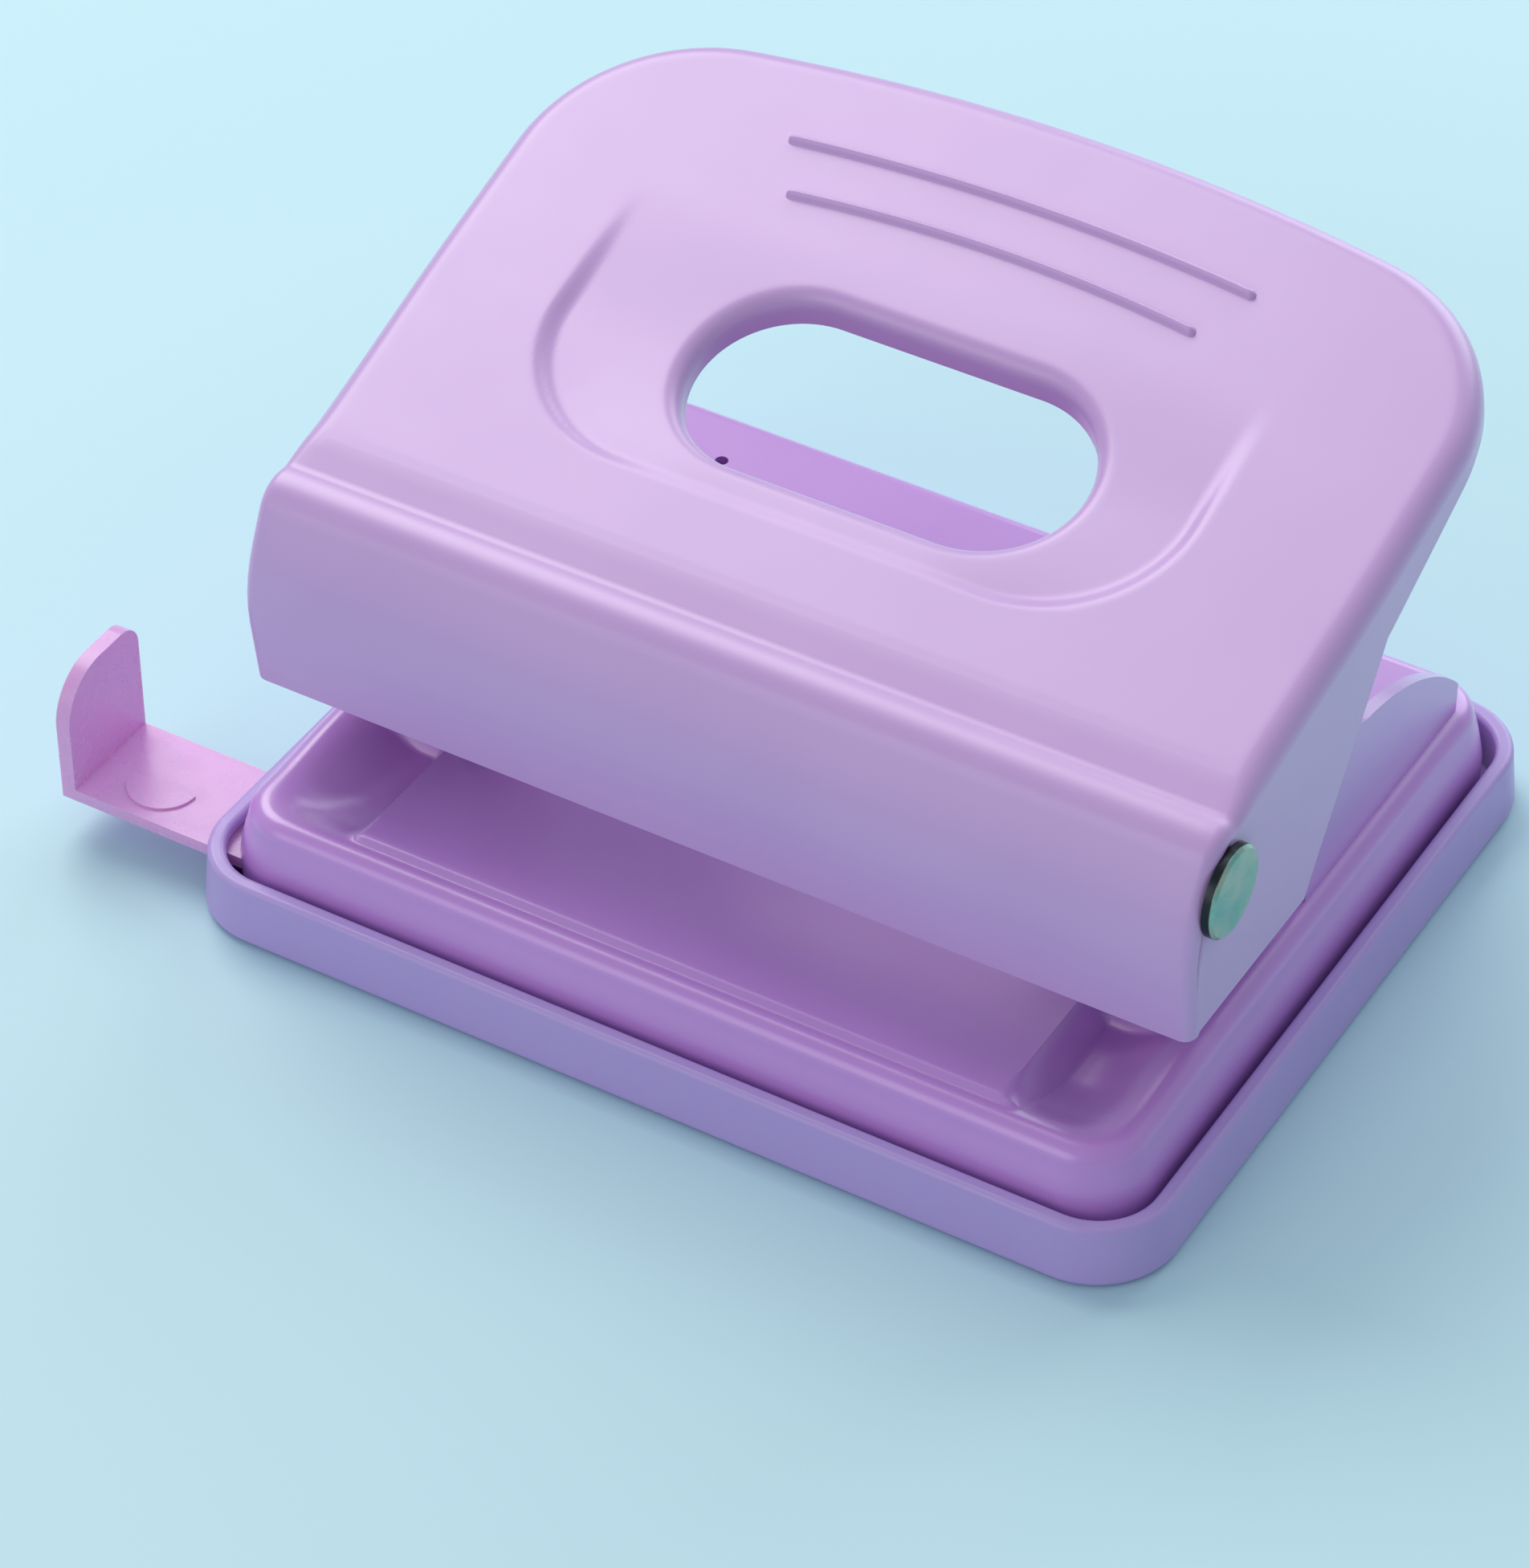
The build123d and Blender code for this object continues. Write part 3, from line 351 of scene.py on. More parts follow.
def clear_pink_plastic(name):
    """Tinted translucent plastic of the paper guide."""
    material, tree, shader = new_material(name)
    shader.inputs["Base Color"].default_value = GUIDE_PINK
    shader.inputs["Transmission Weight"].default_value = GUIDE_CLEARNESS
    shader.inputs["IOR"].default_value = GUIDE_IOR
    smear = span(tree, noise(tree, PLASTIC_SMEARS, 4), *GUIDE_ROUGHNESS)
    tree.links.new(smear, shader.inputs["Roughness"])
    add_glow(shader, *GUIDE_GLOW)
    bump(tree, shader, noise(tree, GUIDE_GRAIN, 1), *GUIDE_BUMP)
    return material


def worked_metal(name, light, deep, roughness, grain_scale):
    """Plated or ground steel with a fine grain and stained patches."""
    material, tree, shader = new_material(name)
    shader.inputs["Metallic"].default_value = 1.0
    cloud = span(tree, noise(tree, METAL_CLOUDS, 4), 0, 1)
    tree.links.new(blend_colour(tree, cloud, light, deep), shader.inputs["Base Color"])
    tree.links.new(smeared(tree, METAL_SMEARS, roughness, METAL_WANDER), shader.inputs["Roughness"])
    bump(tree, shader, noise(tree, grain_scale, 3), *METAL_BUMP)
    return material


def add_head_painted_shade(material):
    """Darkens the plated head's side with painted shade, between its rounded face and the lever's flank."""
    tree = material.node_tree
    shader = tree.nodes["Principled BSDF"]
    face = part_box("pivot_shaft")[1][0]
    split = tree.nodes.new("ShaderNodeSeparateXYZ")
    tree.links.new(object_position(tree), split.inputs["Vector"])
    above = span(tree, split.outputs["X"], 1, 0, *(face - depth * MM for depth in HEAD_FACE_BAND))
    below = span(tree, split.outputs["X"], 0, 1, *(face - depth * MM for depth in HEAD_FOOT_BAND))
    both = tree.nodes.new("ShaderNodeMath")
    both.operation = "MULTIPLY"
    tree.links.new(above, both.inputs[0])
    tree.links.new(below, both.inputs[1])
    plated = shader.inputs["Base Color"].links[0].from_socket
    # painted shade mixed over the plating's colour in the band on the head's side
    mix = blend_colour(tree, both.outputs["Value"], PLATING, HEAD_SIDE_PAINTED_SHADE)
    tree.links.new(plated, mix.node.inputs["A"])
    tree.links.new(mix, shader.inputs["Base Color"])


def smooth(value, low, high):
    """0 below low, 1 above high, and an even S between."""
    share = min(max((value - low) / (high - low), 0.0), 1.0)
    return share * share * (3 - 2 * share)


def lever_profile():
    """Samples (run, y, z, tangent angle) along the lever's length section, from its foot to its rear."""
    slope = (math.cos(SLOPE_ANGLE), math.sin(SLOPE_ANGLE))
    far = (VALLEY[0] + PROFILE_END_RUN * slope[0], VALLEY[1] + PROFILE_END_RUN * slope[1])
    corners = [FOOT, BELLY, SHOULDER, CREASE, BROW, far]
    rounds = [0, BELLY_ROUND, SHOULDER_ROUND, CREASE_ROUND, BROW_ROUND, 0]
    samples = []
    for k in range(1, len(corners) - 1):
        before = Vector(corners[k]) - Vector(corners[k - 1])
        after = Vector(corners[k + 1]) - Vector(corners[k])
        start_angle = math.atan2(before.y, before.x)
        turn = math.atan2(after.y, after.x) - start_angle
        reach = rounds[k] * math.tan(abs(turn) / 2)
        start = Vector(corners[k]) - before.normalized() * reach
        side = math.copysign(1, turn)
        centre = start + Vector((-math.sin(start_angle), math.cos(start_angle))) * rounds[k] * side
        steps = max(2, math.ceil(abs(turn) / math.radians(PROFILE_TURN)))
        for step in range(steps + 1):
            angle = start_angle + turn * step / steps
            place = centre + Vector((math.sin(angle), -math.cos(angle))) * rounds[k] * side
            samples.append([0, place.x, place.y, angle])
    first = Vector(FOOT)
    samples.insert(0, [0, first.x, first.y, samples[0][3]])
    samples.append([0, far[0], far[1], SLOPE_ANGLE])
    for k in range(1, len(samples)):
        gap = math.hypot(samples[k][1] - samples[k - 1][1], samples[k][2] - samples[k - 1][2])
        samples[k][0] = samples[k - 1][0] + gap
    shift = samples[-1][0] - PROFILE_END_RUN
    for sample in samples:
        sample[0] -= shift
    return samples


PROFILE = lever_profile()


def on_profile(run):
    """(y, z, tangent angle) at a run; negative runs go over the shoulder and down the front wall."""
    k = 1
    while k < len(PROFILE) - 1 and PROFILE[k][0] < run:
        k += 1
    a, b = PROFILE[k - 1], PROFILE[k]
    share = (run - a[0]) / max(b[0] - a[0], 1e-9)
    return tuple(a[i] + (b[i] - a[i]) * share for i in (1, 2, 3))


def shell_point(x, run, depth=0.0):
    y, z, angle = on_profile(run)
    return Vector((x, y + depth * math.sin(angle), z - depth * math.cos(angle)))


def half_width(run):
    return FRONT_HALF + (REAR_HALF - FRONT_HALF) * smooth(run, *FLARE_RUNS)


def rear_line(x):
    """The bowed rear edge: its run at x, and its slope there."""
    return REAR_RUN - REAR_BOW * (x / REAR_HALF) ** 2, -2 * REAR_BOW * x / REAR_HALF**2


def corner_tangent():
    """The x where the rear corner's arc meets the bowed rear edge."""
    low, high = REAR_HALF - REAR_CORNER, REAR_HALF
    for _ in range(TANGENT_TRIES):
        middle = (low + high) / 2
        slope = rear_line(middle)[1]
        centre_x = middle - REAR_CORNER * abs(slope) / math.hypot(1, slope)
        if centre_x < REAR_HALF - REAR_CORNER:
            low = middle
        else:
            high = middle
    return low


def front_runs():
    """Runs of the profile's samples from its foot to just before the top's first row."""
    return [sample[0] for sample in PROFILE if sample[0] < TOP_START_RUN - TOP_START_GAP]


def right_outline():
    """(x, run, outward x, outward run) up the right side, round the corner, to the middle of the rear."""
    points = [(half_width(run), run, 1.0, 0.0) for run in front_runs()]
    touch_x = corner_tangent()
    touch_run, slope = rear_line(touch_x)
    size = math.hypot(1, slope)
    normal = (-slope / size, 1 / size)
    centre = (REAR_HALF - REAR_CORNER, touch_run - REAR_CORNER * normal[1])
    for step in range(SIDE_STEPS):
        run = TOP_START_RUN + (centre[1] - TOP_START_RUN) * step / SIDE_STEPS
        points.append((half_width(run), run, 1.0, 0.0))
    sweep = math.acos(normal[0])
    for step in range(CORNER_STEPS):
        angle = sweep * step / CORNER_STEPS
        nx = math.cos(angle)
        nr = math.sin(angle)
        points.append((centre[0] + REAR_CORNER * nx, centre[1] + REAR_CORNER * nr, nx, nr))
    for step in range(REAR_STEPS + 1):
        x = touch_x * (1 - step / REAR_STEPS)
        run, slope = rear_line(x)
        size = math.hypot(1, slope)
        points.append((x, run, -slope / size, 1 / size))
    return points


def roll_radius(run):
    """Radius of the rolled edge: small down the front wall, wider round the top."""
    return END_ROUND + (EDGE_ROUND - END_ROUND) * smooth(run, *END_ROUND_RUNS)


def dish_depth(x, run):
    """Depth of the shallow pressed U round the grip opening, which runs out towards the rear."""
    across = abs(x - DISH_MIDDLE)
    corner_x = across - (DISH_HALF - DISH_CORNER)
    corner_run = DISH_FRONT + DISH_CORNER - run
    if corner_x > 0 and corner_run > 0:
        inside = DISH_CORNER - math.hypot(corner_x, corner_run)
    else:
        inside = min(DISH_HALF - across, run - DISH_FRONT)
    faint = 1 - (1 - DISH_FRONT_SHARE) * (1 - smooth(across, *DISH_FRONT_FADE))
    depth = DISH_DEPTH * (faint + (1 - faint) * smooth(run, DISH_FRONT + DISH_FRONT_RISE, DISH_FADE[0]))
    return depth * smooth(inside, -DISH_STEP / 2, DISH_STEP / 2) * (1 - smooth(run, *DISH_FADE))


def grip_outline(x, run):
    """The point of the opening's outline towards (x, run), and its outward direction."""
    dx, dr = x / GRIP_HALF, (run - GRIP_RUN) / GRIP_RADIUS
    size = math.hypot(dx, dr)
    dx, dr = dx / size * GRIP_HALF, dr / size * GRIP_RADIUS
    straight = GRIP_HALF - GRIP_RADIUS
    if abs(dr) > 1e-9 and abs(dx) * GRIP_RADIUS / abs(dr) <= straight:
        share = GRIP_RADIUS / abs(dr)
        return dx * share, GRIP_RUN + math.copysign(GRIP_RADIUS, dr), 0.0, math.copysign(1, dr)
    centre = math.copysign(straight, dx)
    a = dx * dx + dr * dr
    b = -2 * dx * centre
    c = centre * centre - GRIP_RADIUS**2
    share = (-b + math.sqrt(b * b - 4 * a * c)) / (2 * a)
    px, pr = dx * share, dr * share
    return px, GRIP_RUN + pr, (px - centre) / GRIP_RADIUS, pr / GRIP_RADIUS


def mirror_path(points):
    """A right-hand path followed backwards down the left side."""
    return [(-x, run, -nx, nr) for x, run, nx, nr in reversed(points[:-1])]


def add_strip(vertices, faces, rows, closed=False):
    """Quads between rows of equally many points."""
    first = len(vertices)
    width = len(rows[0])
    for row in rows:
        vertices.extend(row)
    for r in range(len(rows) - 1):
        for c in range(width if closed else width - 1):
            a = first + r * width + c
            b = first + r * width + (c + 1) % width
            faces.append((a, b, b + width, a + width))


def lever_top_rows(outline):
    """Rings from the collar under the grip opening out to the rolled edge, with the pressed dish."""
    front = []
    edge = outline[0][0] - roll_radius(TOP_START_RUN)
    for step in range(1, ACROSS_STEPS):
        front.append((-edge + 2 * edge * step / ACROSS_STEPS, TOP_START_RUN))
    ring = front + [
        (x - nx * roll_radius(run), run - nr * roll_radius(run)) for x, run, nx, nr in outline
    ]
    grips = [grip_outline(x, run) for x, run in ring]
    rows = []
    rows.append([shell_point(gx, gr, GRIP_DEPTH) for gx, gr, _, _ in grips])
    for step in range(GRIP_LIP_STEPS):
        angle = math.pi / 2 * (1 - step / GRIP_LIP_STEPS)
        out = GRIP_LIP * (1 - math.sin(angle))
        drop = GRIP_LIP * (1 - math.cos(angle))
        row = []
        for gx, gr, nx, nr in grips:
            px, pr = gx + nx * out, gr + nr * out
            row.append(shell_point(px, pr, dish_depth(px, pr) + drop))
        rows.append(row)
    for step in range(TOP_STEPS + 1):
        share = step / TOP_STEPS
        row = []
        for (gx, gr, nx, nr), (ox, orun) in zip(grips, ring):
            x = (gx + nx * GRIP_LIP) * (1 - share) + ox * share
            run = (gr + nr * GRIP_LIP) * (1 - share) + orun * share
            row.append(shell_point(x, run, dish_depth(x, run)))
        rows.append(row)
    return rows


def lever_front_rows():
    """The front roll and wall between its rounded ends, from the foot up to the top's first row."""
    rows = []
    for run in front_runs() + [TOP_START_RUN]:
        edge = half_width(run) - roll_radius(run)
        across = [-edge + 2 * edge * step / ACROSS_STEPS for step in range(ACROSS_STEPS + 1)]
        rows.append([shell_point(x, run) for x in across])
    return rows


def run_and_depth(place):
    """A (y, z) place as its run up the top slope and its depth square to it."""
    y, z = place[0] - VALLEY[0], place[1] - VALLEY[1]
    run = y * math.cos(SLOPE_ANGLE) + z * math.sin(SLOPE_ANGLE)
    return run, y * math.sin(SLOPE_ANGLE) - z * math.cos(SLOPE_ANGLE)


def lip_depth(run):
    """Depth of the lower edge behind the flanks' knee: falling to the rear lip's even depth."""
    knee_run, knee_depth = run_and_depth(FLANK_FOOT[-1])
    turn_run, turn_depth = run_and_depth(LIP_TURN)
    share = min(max((run - knee_run) / (turn_run - knee_run), 0), 1)
    return knee_depth + (turn_depth - knee_depth) * share


def wall_bottom(outline):
    """For each outline point up to the flanks' knee, the (y, z) place on the lower edge below it."""
    keys = [(outline[0][1], None)] + list(zip(FLANK_FOOT_RUNS, FLANK_FOOT))
    indices = [0]
    for run, _ in keys[1:]:
        misses = []
        for point in outline[: len(outline) // 2]:
            misses.append(abs(point[1] - run) + FLANK_CORNER_WEIGHT * abs(point[3]))
        indices.append(max(misses.index(min(misses)), indices[-1] + 1))
    bottoms = {}
    start = shell_point(outline[0][0], outline[0][1], END_ROUND)
    places = [Vector((start.y, start.z))] + [Vector(place) for _, place in keys[1:]]
    for k in range(len(indices) - 1):
        for index in range(indices[k], indices[k + 1] + 1):
            share = (index - indices[k]) / (indices[k + 1] - indices[k])
            bottoms[index] = places[k].lerp(places[k + 1], share)
    return bottoms, indices[-1]


def lever_edge_rows(right):
    """The rolled edge, the flanges and the rear lip, as rows along the whole outline."""
    path = right + mirror_path(right)
    bottoms, last = wall_bottom(right)
    seams = len(SEAM_GAPS)
    seam = []
    rows = [[] for _ in range(ROLL_STEPS + seams + LEVER_WALL_STEPS + 1)]
    for index, (x, run, nx, nr) in enumerate(path):
        radius = roll_radius(run)
        bx, brun = x - nx * radius, run - nr * radius
        y, z, angle = on_profile(brun)
        normal = Vector((0, -math.sin(angle), math.cos(angle)))
        outward = Vector((nx, nr * math.cos(angle), nr * math.sin(angle)))
        centre = Vector((bx, y, z)) - normal * radius
        for step in range(ROLL_STEPS + 1):
            turn = math.pi / 2 * step / ROLL_STEPS
            rows[step].append(centre + (outward * math.sin(turn) + normal * math.cos(turn)) * radius)
        top = centre + outward * radius
        mirrored = min(index, len(path) - 1 - index)
        if mirrored <= last:
            place = bottoms[mirrored]
            low_run = run_and_depth(place)[0]
            bottom = Vector((math.copysign(half_width(low_run), nx), place.x, place.y))
        else:
            bottom = Vector((bx, y, z)) - normal * lip_depth(run) + outward * radius
        fall = bottom - top
        for step, gap in enumerate(SEAM_GAPS):
            place = top + fall * min(gap / max(fall.length, LEAST_WALL), gap / seams)
            rows[ROLL_STEPS + 1 + step].append(place)
            if 0 < step < seams - 1 and run < SEAM_TOP_RUN and fall.length > SEAM_LEAST_WALL:
                seam.append(place)
        start = place
        for step in range(1, LEVER_WALL_STEPS + 1):
            rows[ROLL_STEPS + seams + step].append(start.lerp(bottom, step / LEVER_WALL_STEPS))
    return rows, seam


def mesh_object(name, vertices, faces):
    mesh = bpy.data.meshes.new(name)
    mesh.from_pydata([Vector(v) * MM for v in vertices], [], faces)
    work = bmesh.new()
    work.from_mesh(mesh)
    bmesh.ops.remove_doubles(work, verts=work.verts, dist=MERGE_DISTANCE * MM)
    bmesh.ops.recalc_face_normals(work, faces=work.faces)
    work.to_mesh(mesh)
    work.free()
    made = bpy.data.objects.new(name, mesh)
    bpy.context.scene.collection.objects.link(made)
    return made


def apply_modifiers(made, sharp_degrees):
    """Turns the modifiers' result into the object's own mesh, smooth but for its sharp edges."""
    graph = bpy.context.evaluated_depsgraph_get()
    mesh = bpy.data.meshes.new_from_object(made.evaluated_get(graph))
    made.modifiers.clear()
    made.data = mesh
    for face in mesh.polygons:
        face.use_smooth = True
    mesh.set_sharp_from_angle(angle=math.radians(sharp_degrees))


def sink_seam(shell, places):
    """Presses the corner's seam into the flanks' outer face, leaving the inner face flat."""
    tree = KDTree(len(places))
    for index, place in enumerate(places):
        tree.insert(place * MM, index)
    tree.balance()
    for vertex in shell.data.vertices:
        distance = tree.find(vertex.co)[2]
        if distance < SEAM_MATCH * MM:
            vertex.co.x -= math.copysign(SEAM_INTO * MM, vertex.co.x)


def cut_away(shell, work, sharp_degrees):
    """Takes the closed forms of a bmesh out of a shell and applies its modifiers."""
    whole = len(shell.data.polygons)
    mesh = bpy.data.meshes.new("cutters")
    work.to_mesh(mesh)
    work.free()
    cutters = bpy.data.objects.new("cutters", mesh)
    bpy.context.scene.collection.objects.link(cutters)
    cut = shell.modifiers.new("cut", "BOOLEAN")
    cut.operation = "DIFFERENCE"
    cut.solver = "EXACT"
    cut.object = cutters
    apply_modifiers(shell, sharp_degrees)
    bpy.data.objects.remove(cutters)
    if len(shell.data.polygons) < whole:
        raise RuntimeError("the cut removed the shell")


def build_lever_shell(material):
    right = right_outline()
    start = next(k for k, point in enumerate(right) if point[1] >= TOP_START_RUN - TOP_START_MATCH)
    outline = right[start:] + mirror_path(right[start:])
    vertices = []
    faces = []
    add_strip(vertices, faces, lever_top_rows(outline), closed=True)
    add_strip(vertices, faces, lever_front_rows())
    edge_rows, seam = lever_edge_rows(right)
    add_strip(vertices, faces, edge_rows)
    shell = mesh_object("lever_shell", vertices, faces)
    point_outwards(shell)
    thick = shell.modifiers.new("sheet", "SOLIDIFY")
    thick.thickness = SHEET * MM
    thick.offset = -1
    apply_modifiers(shell, SHELL_SHARP)
    sink_seam(shell, seam)
    shell.data.materials.append(material)
    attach(shell, "lever_unit")
    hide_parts("lever")


def point_outwards(made):
    """Flips the mesh if its highest face points down."""
    highest = max(made.data.polygons, key=lambda face: face.center.z)
    if highest.normal.z < 0:
        made.data.flip_normals()


def build_lever_ribs(material):
    """Two raised ribs with soft flanks, lying on the top behind the grip opening."""
    vertices = []
    faces = []
    for half, middle in zip(RIB_HALVES, RIB_RUNS):
        rows = []
        for step in range(RIB_LENGTH_STEPS + 1):
            share = -math.cos(math.pi * step / RIB_LENGTH_STEPS)
            x = share * (half + RIB_HALF_WIDTH)
            run = middle + RIB_BOW * (1 - (x / half) ** 2)
            past = max(abs(x) - half, 0) / RIB_HALF_WIDTH
            size = math.sqrt(max(1 - past * past, 0))
            row = []
            for k in range(RIB_ACROSS_STEPS + 1):
                across = -1 + 2 * k / RIB_ACROSS_STEPS
                height = RIB_HEIGHT * (1 - across * across) ** RIB_FLANK * size
                row.append(shell_point(x, run + across * RIB_HALF_WIDTH * size, RIB_SINK - height))
            rows.append(row)
        add_strip(vertices, faces, rows)
    ribs = mesh_object("lever_ribs", vertices, faces)
    point_outwards(ribs)
    apply_modifiers(ribs, RIB_SHARP)
    ribs.data.materials.append(material)
    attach(ribs, "lever_unit")


def frame_top_z(x, y):
    """Height of the frame's pressed top: flat, with a lower front lip and two soft side depressions."""
    across = abs(x)
    inner = min(max((across - TABLE_HALF) / SCOOP_WALL, 0), 1)
    past = smooth(y, *CORNER_FADE)
    lip = LIP_DROP * max(1 - smooth(y, *LIP_STEP), inner * (1 - past))
    corner = CORNER_DROP * inner * smooth(y, *CORNER_START) * (1 - past)
    corner *= 1 - smooth(across, *CORNER_SIDE)
    outer = 1 - smooth(across, *SCOOP_RAMP)
    along = smooth(y, *SCOOP_FRONT) * (1 - smooth(y, *SCOOP_REAR))
    hollow = (SCOOP_DEPTH + (CORNER_DROP + LIP_DROP) * past) * inner * outer * along
    return FRAME_TOP - lip - corner - hollow


def fine_steps(low, high, zones, coarse, fine):
    """Numbers from low to high, spaced finely inside the zones and coarsely elsewhere."""
    values = [low]
    while values[-1] < high - fine:
        place = values[-1]
        near = any(
            start - fine <= abs(place) <= end or start - fine <= place <= end for start, end in zones
        )
        values.append(min(place + (fine if near else coarse), high))
    values[-1] = high
    return values


def frame_grid():
    """Rows of points over the frame's top inside its rolled rim, as rows of equal length."""
    half_x = FRAME_HALF[0] - FRAME_RIM
    half_y = FRAME_HALF[1] - FRAME_RIM
    corner = FRAME_CORNER - FRAME_RIM
    turns = []
    for step in range(FRAME_TURN_STEPS):
        turns.append(corner * (1 - math.cos(math.pi / 2 * step / FRAME_TURN_STEPS)))
    zones = [(-half_y, FRAME_FINE_FRONT), FRAME_FINE_REAR]
    middle = fine_steps(-half_y + corner, half_y - corner, zones, *FRAME_SPACING_ALONG)
    ys = [-half_y + t for t in turns] + middle + [half_y - t for t in reversed(turns)]
    zones = [(TABLE_HALF - FRAME_FINE_MARGIN, half_x)]
    shares = fine_steps(-half_x, half_x, zones, *FRAME_SPACING_ACROSS)
    rows = []
    for y in ys:
        into = max(abs(y) - (half_y - corner), 0)
        reach = half_x - corner + math.sqrt(max(corner**2 - into**2, 0))
        rows.append([(share * reach / half_x, y) for share in shares])
    return rows


def frame_border(rows):
    """The grid's border points in order, each with its outward direction."""
    right = [row[-1] for row in rows[1:-1]]
    left = [row[0] for row in reversed(rows[1:-1])]
    ring = rows[0] + right + rows[-1][::-1] + left
    half_x = FRAME_HALF[0] - FRAME_CORNER
    half_y = FRAME_HALF[1] - FRAME_CORNER
    border = []
    for x, y in ring:
        out = Vector((max(abs(x) - half_x, 0), max(abs(y) - half_y, 0)))
        out.normalize()
        border.append((x, y, math.copysign(out.x, x), math.copysign(out.y, y)))
    return border


def frame_openings():
    """Cutters for the die seats, the hanging holes and the guide's notch."""
    work = bmesh.new()
    holes = [(place, DIE_HOLE_RADIUS) for place in DIE_HOLES]
    holes += [(place, HANG_HOLE_RADIUS) for place in HANG_HOLES]
    for (x, y), radius in holes:
        made = bmesh.ops.create_cone(
            work,
            cap_ends=True,
            segments=HOLE_SEGMENTS,
            radius1=radius * MM,
            radius2=radius * MM,
            depth=HOLE_CUT_DEPTH * MM,
        )
        bmesh.ops.translate(work, verts=made["verts"], vec=Vector((x, y, FRAME_TOP)) * MM)
    low, high = (Vector(corner) for corner in GUIDE_NOTCH)
    made = bmesh.ops.create_cube(work, size=1)
    bmesh.ops.scale(work, verts=made["verts"], vec=(high - low) * MM)
    bmesh.ops.translate(work, verts=made["verts"], vec=(high + low) / 2 * MM)
    return work


def build_frame_shell(material):
    """The pressed base frame: its shaped top, rolled rim and skirt."""
    grid = frame_grid()
    border = frame_border(grid)
    vertices = []
    faces = []
    add_strip(vertices, faces, [[Vector((x, y, frame_top_z(x, y))) for x, y in row] for row in grid])
    rows = [[] for _ in range(ROLL_STEPS + FRAME_WALL_STEPS + 2)]
    for x, y, out_x, out_y in border:
        centre = Vector((x, y, frame_top_z(x, y) - FRAME_RIM))
        outward = Vector((out_x, out_y, 0))
        for step in range(ROLL_STEPS + 1):
            turn = math.pi / 2 * step / ROLL_STEPS
            up = Vector((0, 0, math.cos(turn)))
            rows[step].append(centre + (outward * math.sin(turn) + up) * FRAME_RIM)
        top = centre + outward * FRAME_RIM
        low = top + outward * SKIRT_FLARE
        knee = Vector((low.x, low.y, min(SKIRT_KNEE, top.z - SKIRT_LEAST_FALL)))
        for step in range(1, FRAME_WALL_STEPS + 1):
            share = step / FRAME_WALL_STEPS
            flared = top.lerp(knee, share)
            rows[ROLL_STEPS + step].append(flared + outward * SKIRT_FLARE * share * (1 - share) * SKIRT_BOW)
        rows[-1].append(Vector((low.x, low.y, FRAME_BOTTOM)))
    add_strip(vertices, faces, rows, closed=True)
    shell = mesh_object("frame_shell", vertices, faces)
    point_outwards(shell)
    thick = shell.modifiers.new("sheet", "SOLIDIFY")
    thick.thickness = SHEET * MM
    thick.offset = -1
    cut_away(shell, frame_openings(), FRAME_SHARP)
    shell.data.materials.append(material)
    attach(shell, "frame")
    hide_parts("base_frame")


def spring_height(turn):
    """Height of the wire's middle at a turn, with closer coils at both ends."""
    rise = SPRING_LENGTH - SPRING_WIRE - 2 * SPRING_SEAT_GAP
    middle_pitch = (rise - 2 * SPRING_END_PITCH) / (SPRING_TURNS - 2)
    if turn <= 1:
        return turn * SPRING_END_PITCH
    if turn <= SPRING_TURNS - 1:
        return SPRING_END_PITCH + (turn - 1) * middle_pitch
    return rise - (SPRING_TURNS - turn) * SPRING_END_PITCH


def build_spring(side, material):
    """A wound punch spring at its rest length; the real one shortens as its punch goes down."""
    middle_x, middle_y = SPRING_PLACES[side]
    low = SPRING_SEAT + SPRING_SEAT_GAP + SPRING_WIRE / 2
    steps = SPRING_TURNS * SPRING_TURN_STEPS
    places = []
    for step in range(steps + 1):
        turn = SPRING_TURNS * step / steps
        angle = 2 * math.pi * turn
        out = Vector((math.cos(angle), math.sin(angle), 0))
        middle = Vector((middle_x, middle_y, low + spring_height(turn)))
        places.append((middle + out * SPRING_RADIUS, out))
    rows = []
    for index, (place, out) in enumerate(places):
        before = places[max(index - 1, 0)][0]
        after = places[min(index + 1, steps)][0]
        up = (after - before).cross(out).normalized()
        ring = []
        for segment in range(SPRING_SEGMENTS):
            angle = 2 * math.pi * segment / SPRING_SEGMENTS
            ring.append(place + (out * math.cos(angle) + up * math.sin(angle)) * SPRING_WIRE / 2)
        rows.append(ring)
    vertices = []
    faces = []
    add_strip(vertices, faces, rows, closed=True)
    faces.append(tuple(reversed(range(SPRING_SEGMENTS))))
    faces.append(tuple(range(len(vertices) - SPRING_SEGMENTS, len(vertices))))
    spring = mesh_object("spring_coil_" + side, vertices, faces)
    apply_modifiers(spring, SHELL_SHARP)
    spring.data.materials.append(material)
    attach(spring, "frame")
    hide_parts("punch_spring_" + side)
    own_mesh(spring)


def paint_nodes(material, *names):
    for name in names:
        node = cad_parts[name]
        node.data.materials.clear()
        node.data.materials.append(material)
        for face in node.data.polygons:
            face.use_smooth = True


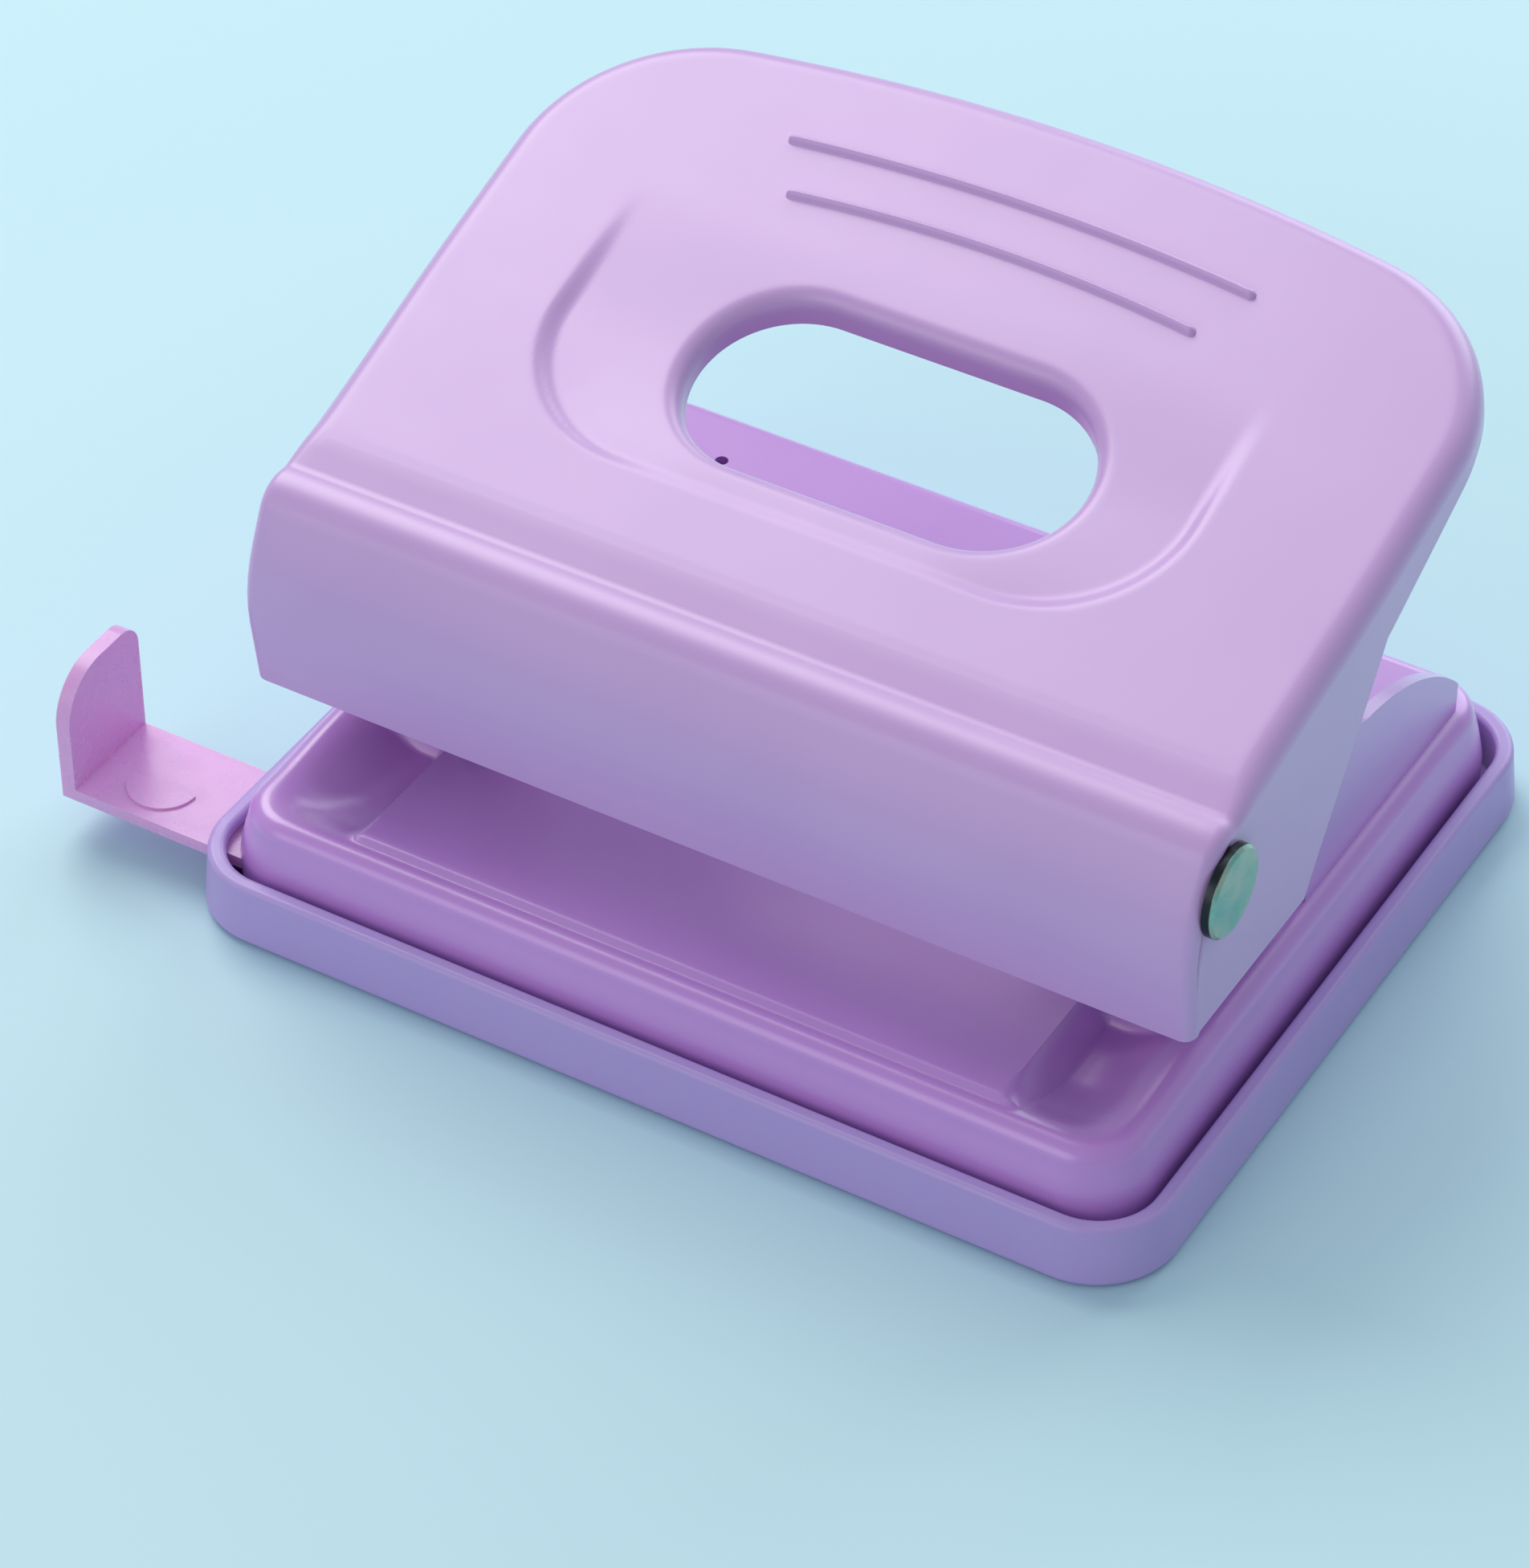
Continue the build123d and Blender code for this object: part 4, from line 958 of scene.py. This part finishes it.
def dress_frame_nodes():
    # the lever takes the lit copy of the lilac, the frame and brackets the shaded copy: painted light and
    # painted shade
    lever_paint = gloss_paint("lever_paint", LILAC_PAINTED_LIT, LILAC_PAINTED_LIT_DEEP, *LEVER_GLOSS)
    base_paint = gloss_paint("frame_paint", LILAC_PAINTED_SHADED, LILAC_PAINTED_SHADED_DEEP, *BASE_GLOSS)
    bracket_paint = gloss_paint("bracket_paint", LILAC_PAINTED_SHADED, LILAC_PAINTED_SHADED_DEEP, *BASE_GLOSS)
    plated = worked_metal("pivot_plating", PLATING, PLATING_WARM, *PLATED_FINISH)
    # paints shade on the pivot head's side
    add_head_painted_shade(plated)
    ground = worked_metal("ground_steel", STEEL, STEEL_DEEP, *GROUND_FINISH)
    tool_steel = worked_metal("tool_steel", TOOL_STEEL, TOOL_STEEL_DEEP, *TOOL_FINISH)
    build_lever_shell(lever_paint)
    build_lever_ribs(lever_paint)
    build_frame_shell(base_paint)
    paint_nodes(bracket_paint, "side_bracket_left", "side_bracket_right")
    tray = moulded_plastic("tray_plastic", TRAY_LILAC, TRAY_LILAC_DEEP, TRAY_ROUGHNESS)
    paint_nodes(tray, "base_tray")
    paint_nodes(clear_pink_plastic("guide_plastic"), "paper_guide")
    paint_nodes(plated, "pivot_shaft", "pivot_clip")
    paint_nodes(ground, "punch_guide_left", "punch_guide_right", "press_bar", "bracket_rivets")
    for side in SPRING_PLACES:
        build_spring(side, ground)
    paint_nodes(tool_steel, "die_left", "die_right", "punch_pin_left", "punch_pin_right")
    spacer = moulded_plastic("spacer_plastic", WHITE_PLASTIC, WHITE_PLASTIC_DEEP, SPACER_ROUGHNESS)
    paint_nodes(spacer, "pivot_spacer_left", "pivot_spacer_right")


def add_floor():
    bpy.ops.mesh.primitive_plane_add(size=FLOOR_SIZE, location=(0, 0, FLOOR_HEIGHT))
    floor = bpy.context.object
    floor.name = "studio_floor"
    material, _, shader = new_material("floor")
    shader.inputs["Base Color"].default_value = FLOOR_COLOUR
    shader.inputs["Roughness"].default_value = FLOOR_ROUGHNESS
    floor.data.materials.append(material)


def add_area_light(name, place, size, power, colour):
    light = bpy.data.lights.new(name, "AREA")
    light.shape = "DISK"
    light.size = size
    light.energy = power
    light.color = colour
    holder = bpy.data.objects.new(name, light)
    holder.location = place
    towards = Vector(LAMP_AIM) - Vector(place)
    holder.rotation_euler = towards.to_track_quat("-Z", "Y").to_euler()
    bpy.context.scene.collection.objects.link(holder)


def add_light():
    world = bpy.data.worlds.new("studio")
    bpy.context.scene.world = world
    world.use_nodes = True
    background = world.node_tree.nodes["Background"]
    background.inputs["Color"].default_value = WORLD_COLOUR
    background.inputs["Strength"].default_value = WORLD_STRENGTH
    for lamp in LAMPS:
        add_area_light(*lamp)


def add_camera():
    azimuth = math.radians(CAMERA_AZIMUTH)
    elevation = math.radians(CAMERA_ELEVATION)
    back = Vector(
        (
            math.cos(elevation) * math.sin(azimuth),
            -math.cos(elevation) * math.cos(azimuth),
            math.sin(elevation),
        )
    )
    data = bpy.data.cameras.new("camera")
    data.sensor_fit = "HORIZONTAL"
    data.sensor_width = SENSOR_WIDTH
    data.lens = SENSOR_WIDTH * CAMERA_FOCAL_PIXELS / PHOTO_WIDTH
    data.clip_start, data.clip_end = CAMERA_CLIP
    camera = bpy.data.objects.new("camera", data)
    camera.location = Vector(CAMERA_TARGET) + back * CAMERA_DISTANCE
    camera.rotation_euler = (-back).to_track_quat("-Z", "Y").to_euler()
    bpy.context.scene.collection.objects.link(camera)
    bpy.context.scene.camera = camera


bpy.context.scene.view_settings.view_transform = "Standard"
dress_frame_nodes()
add_floor()
add_light()
add_camera()
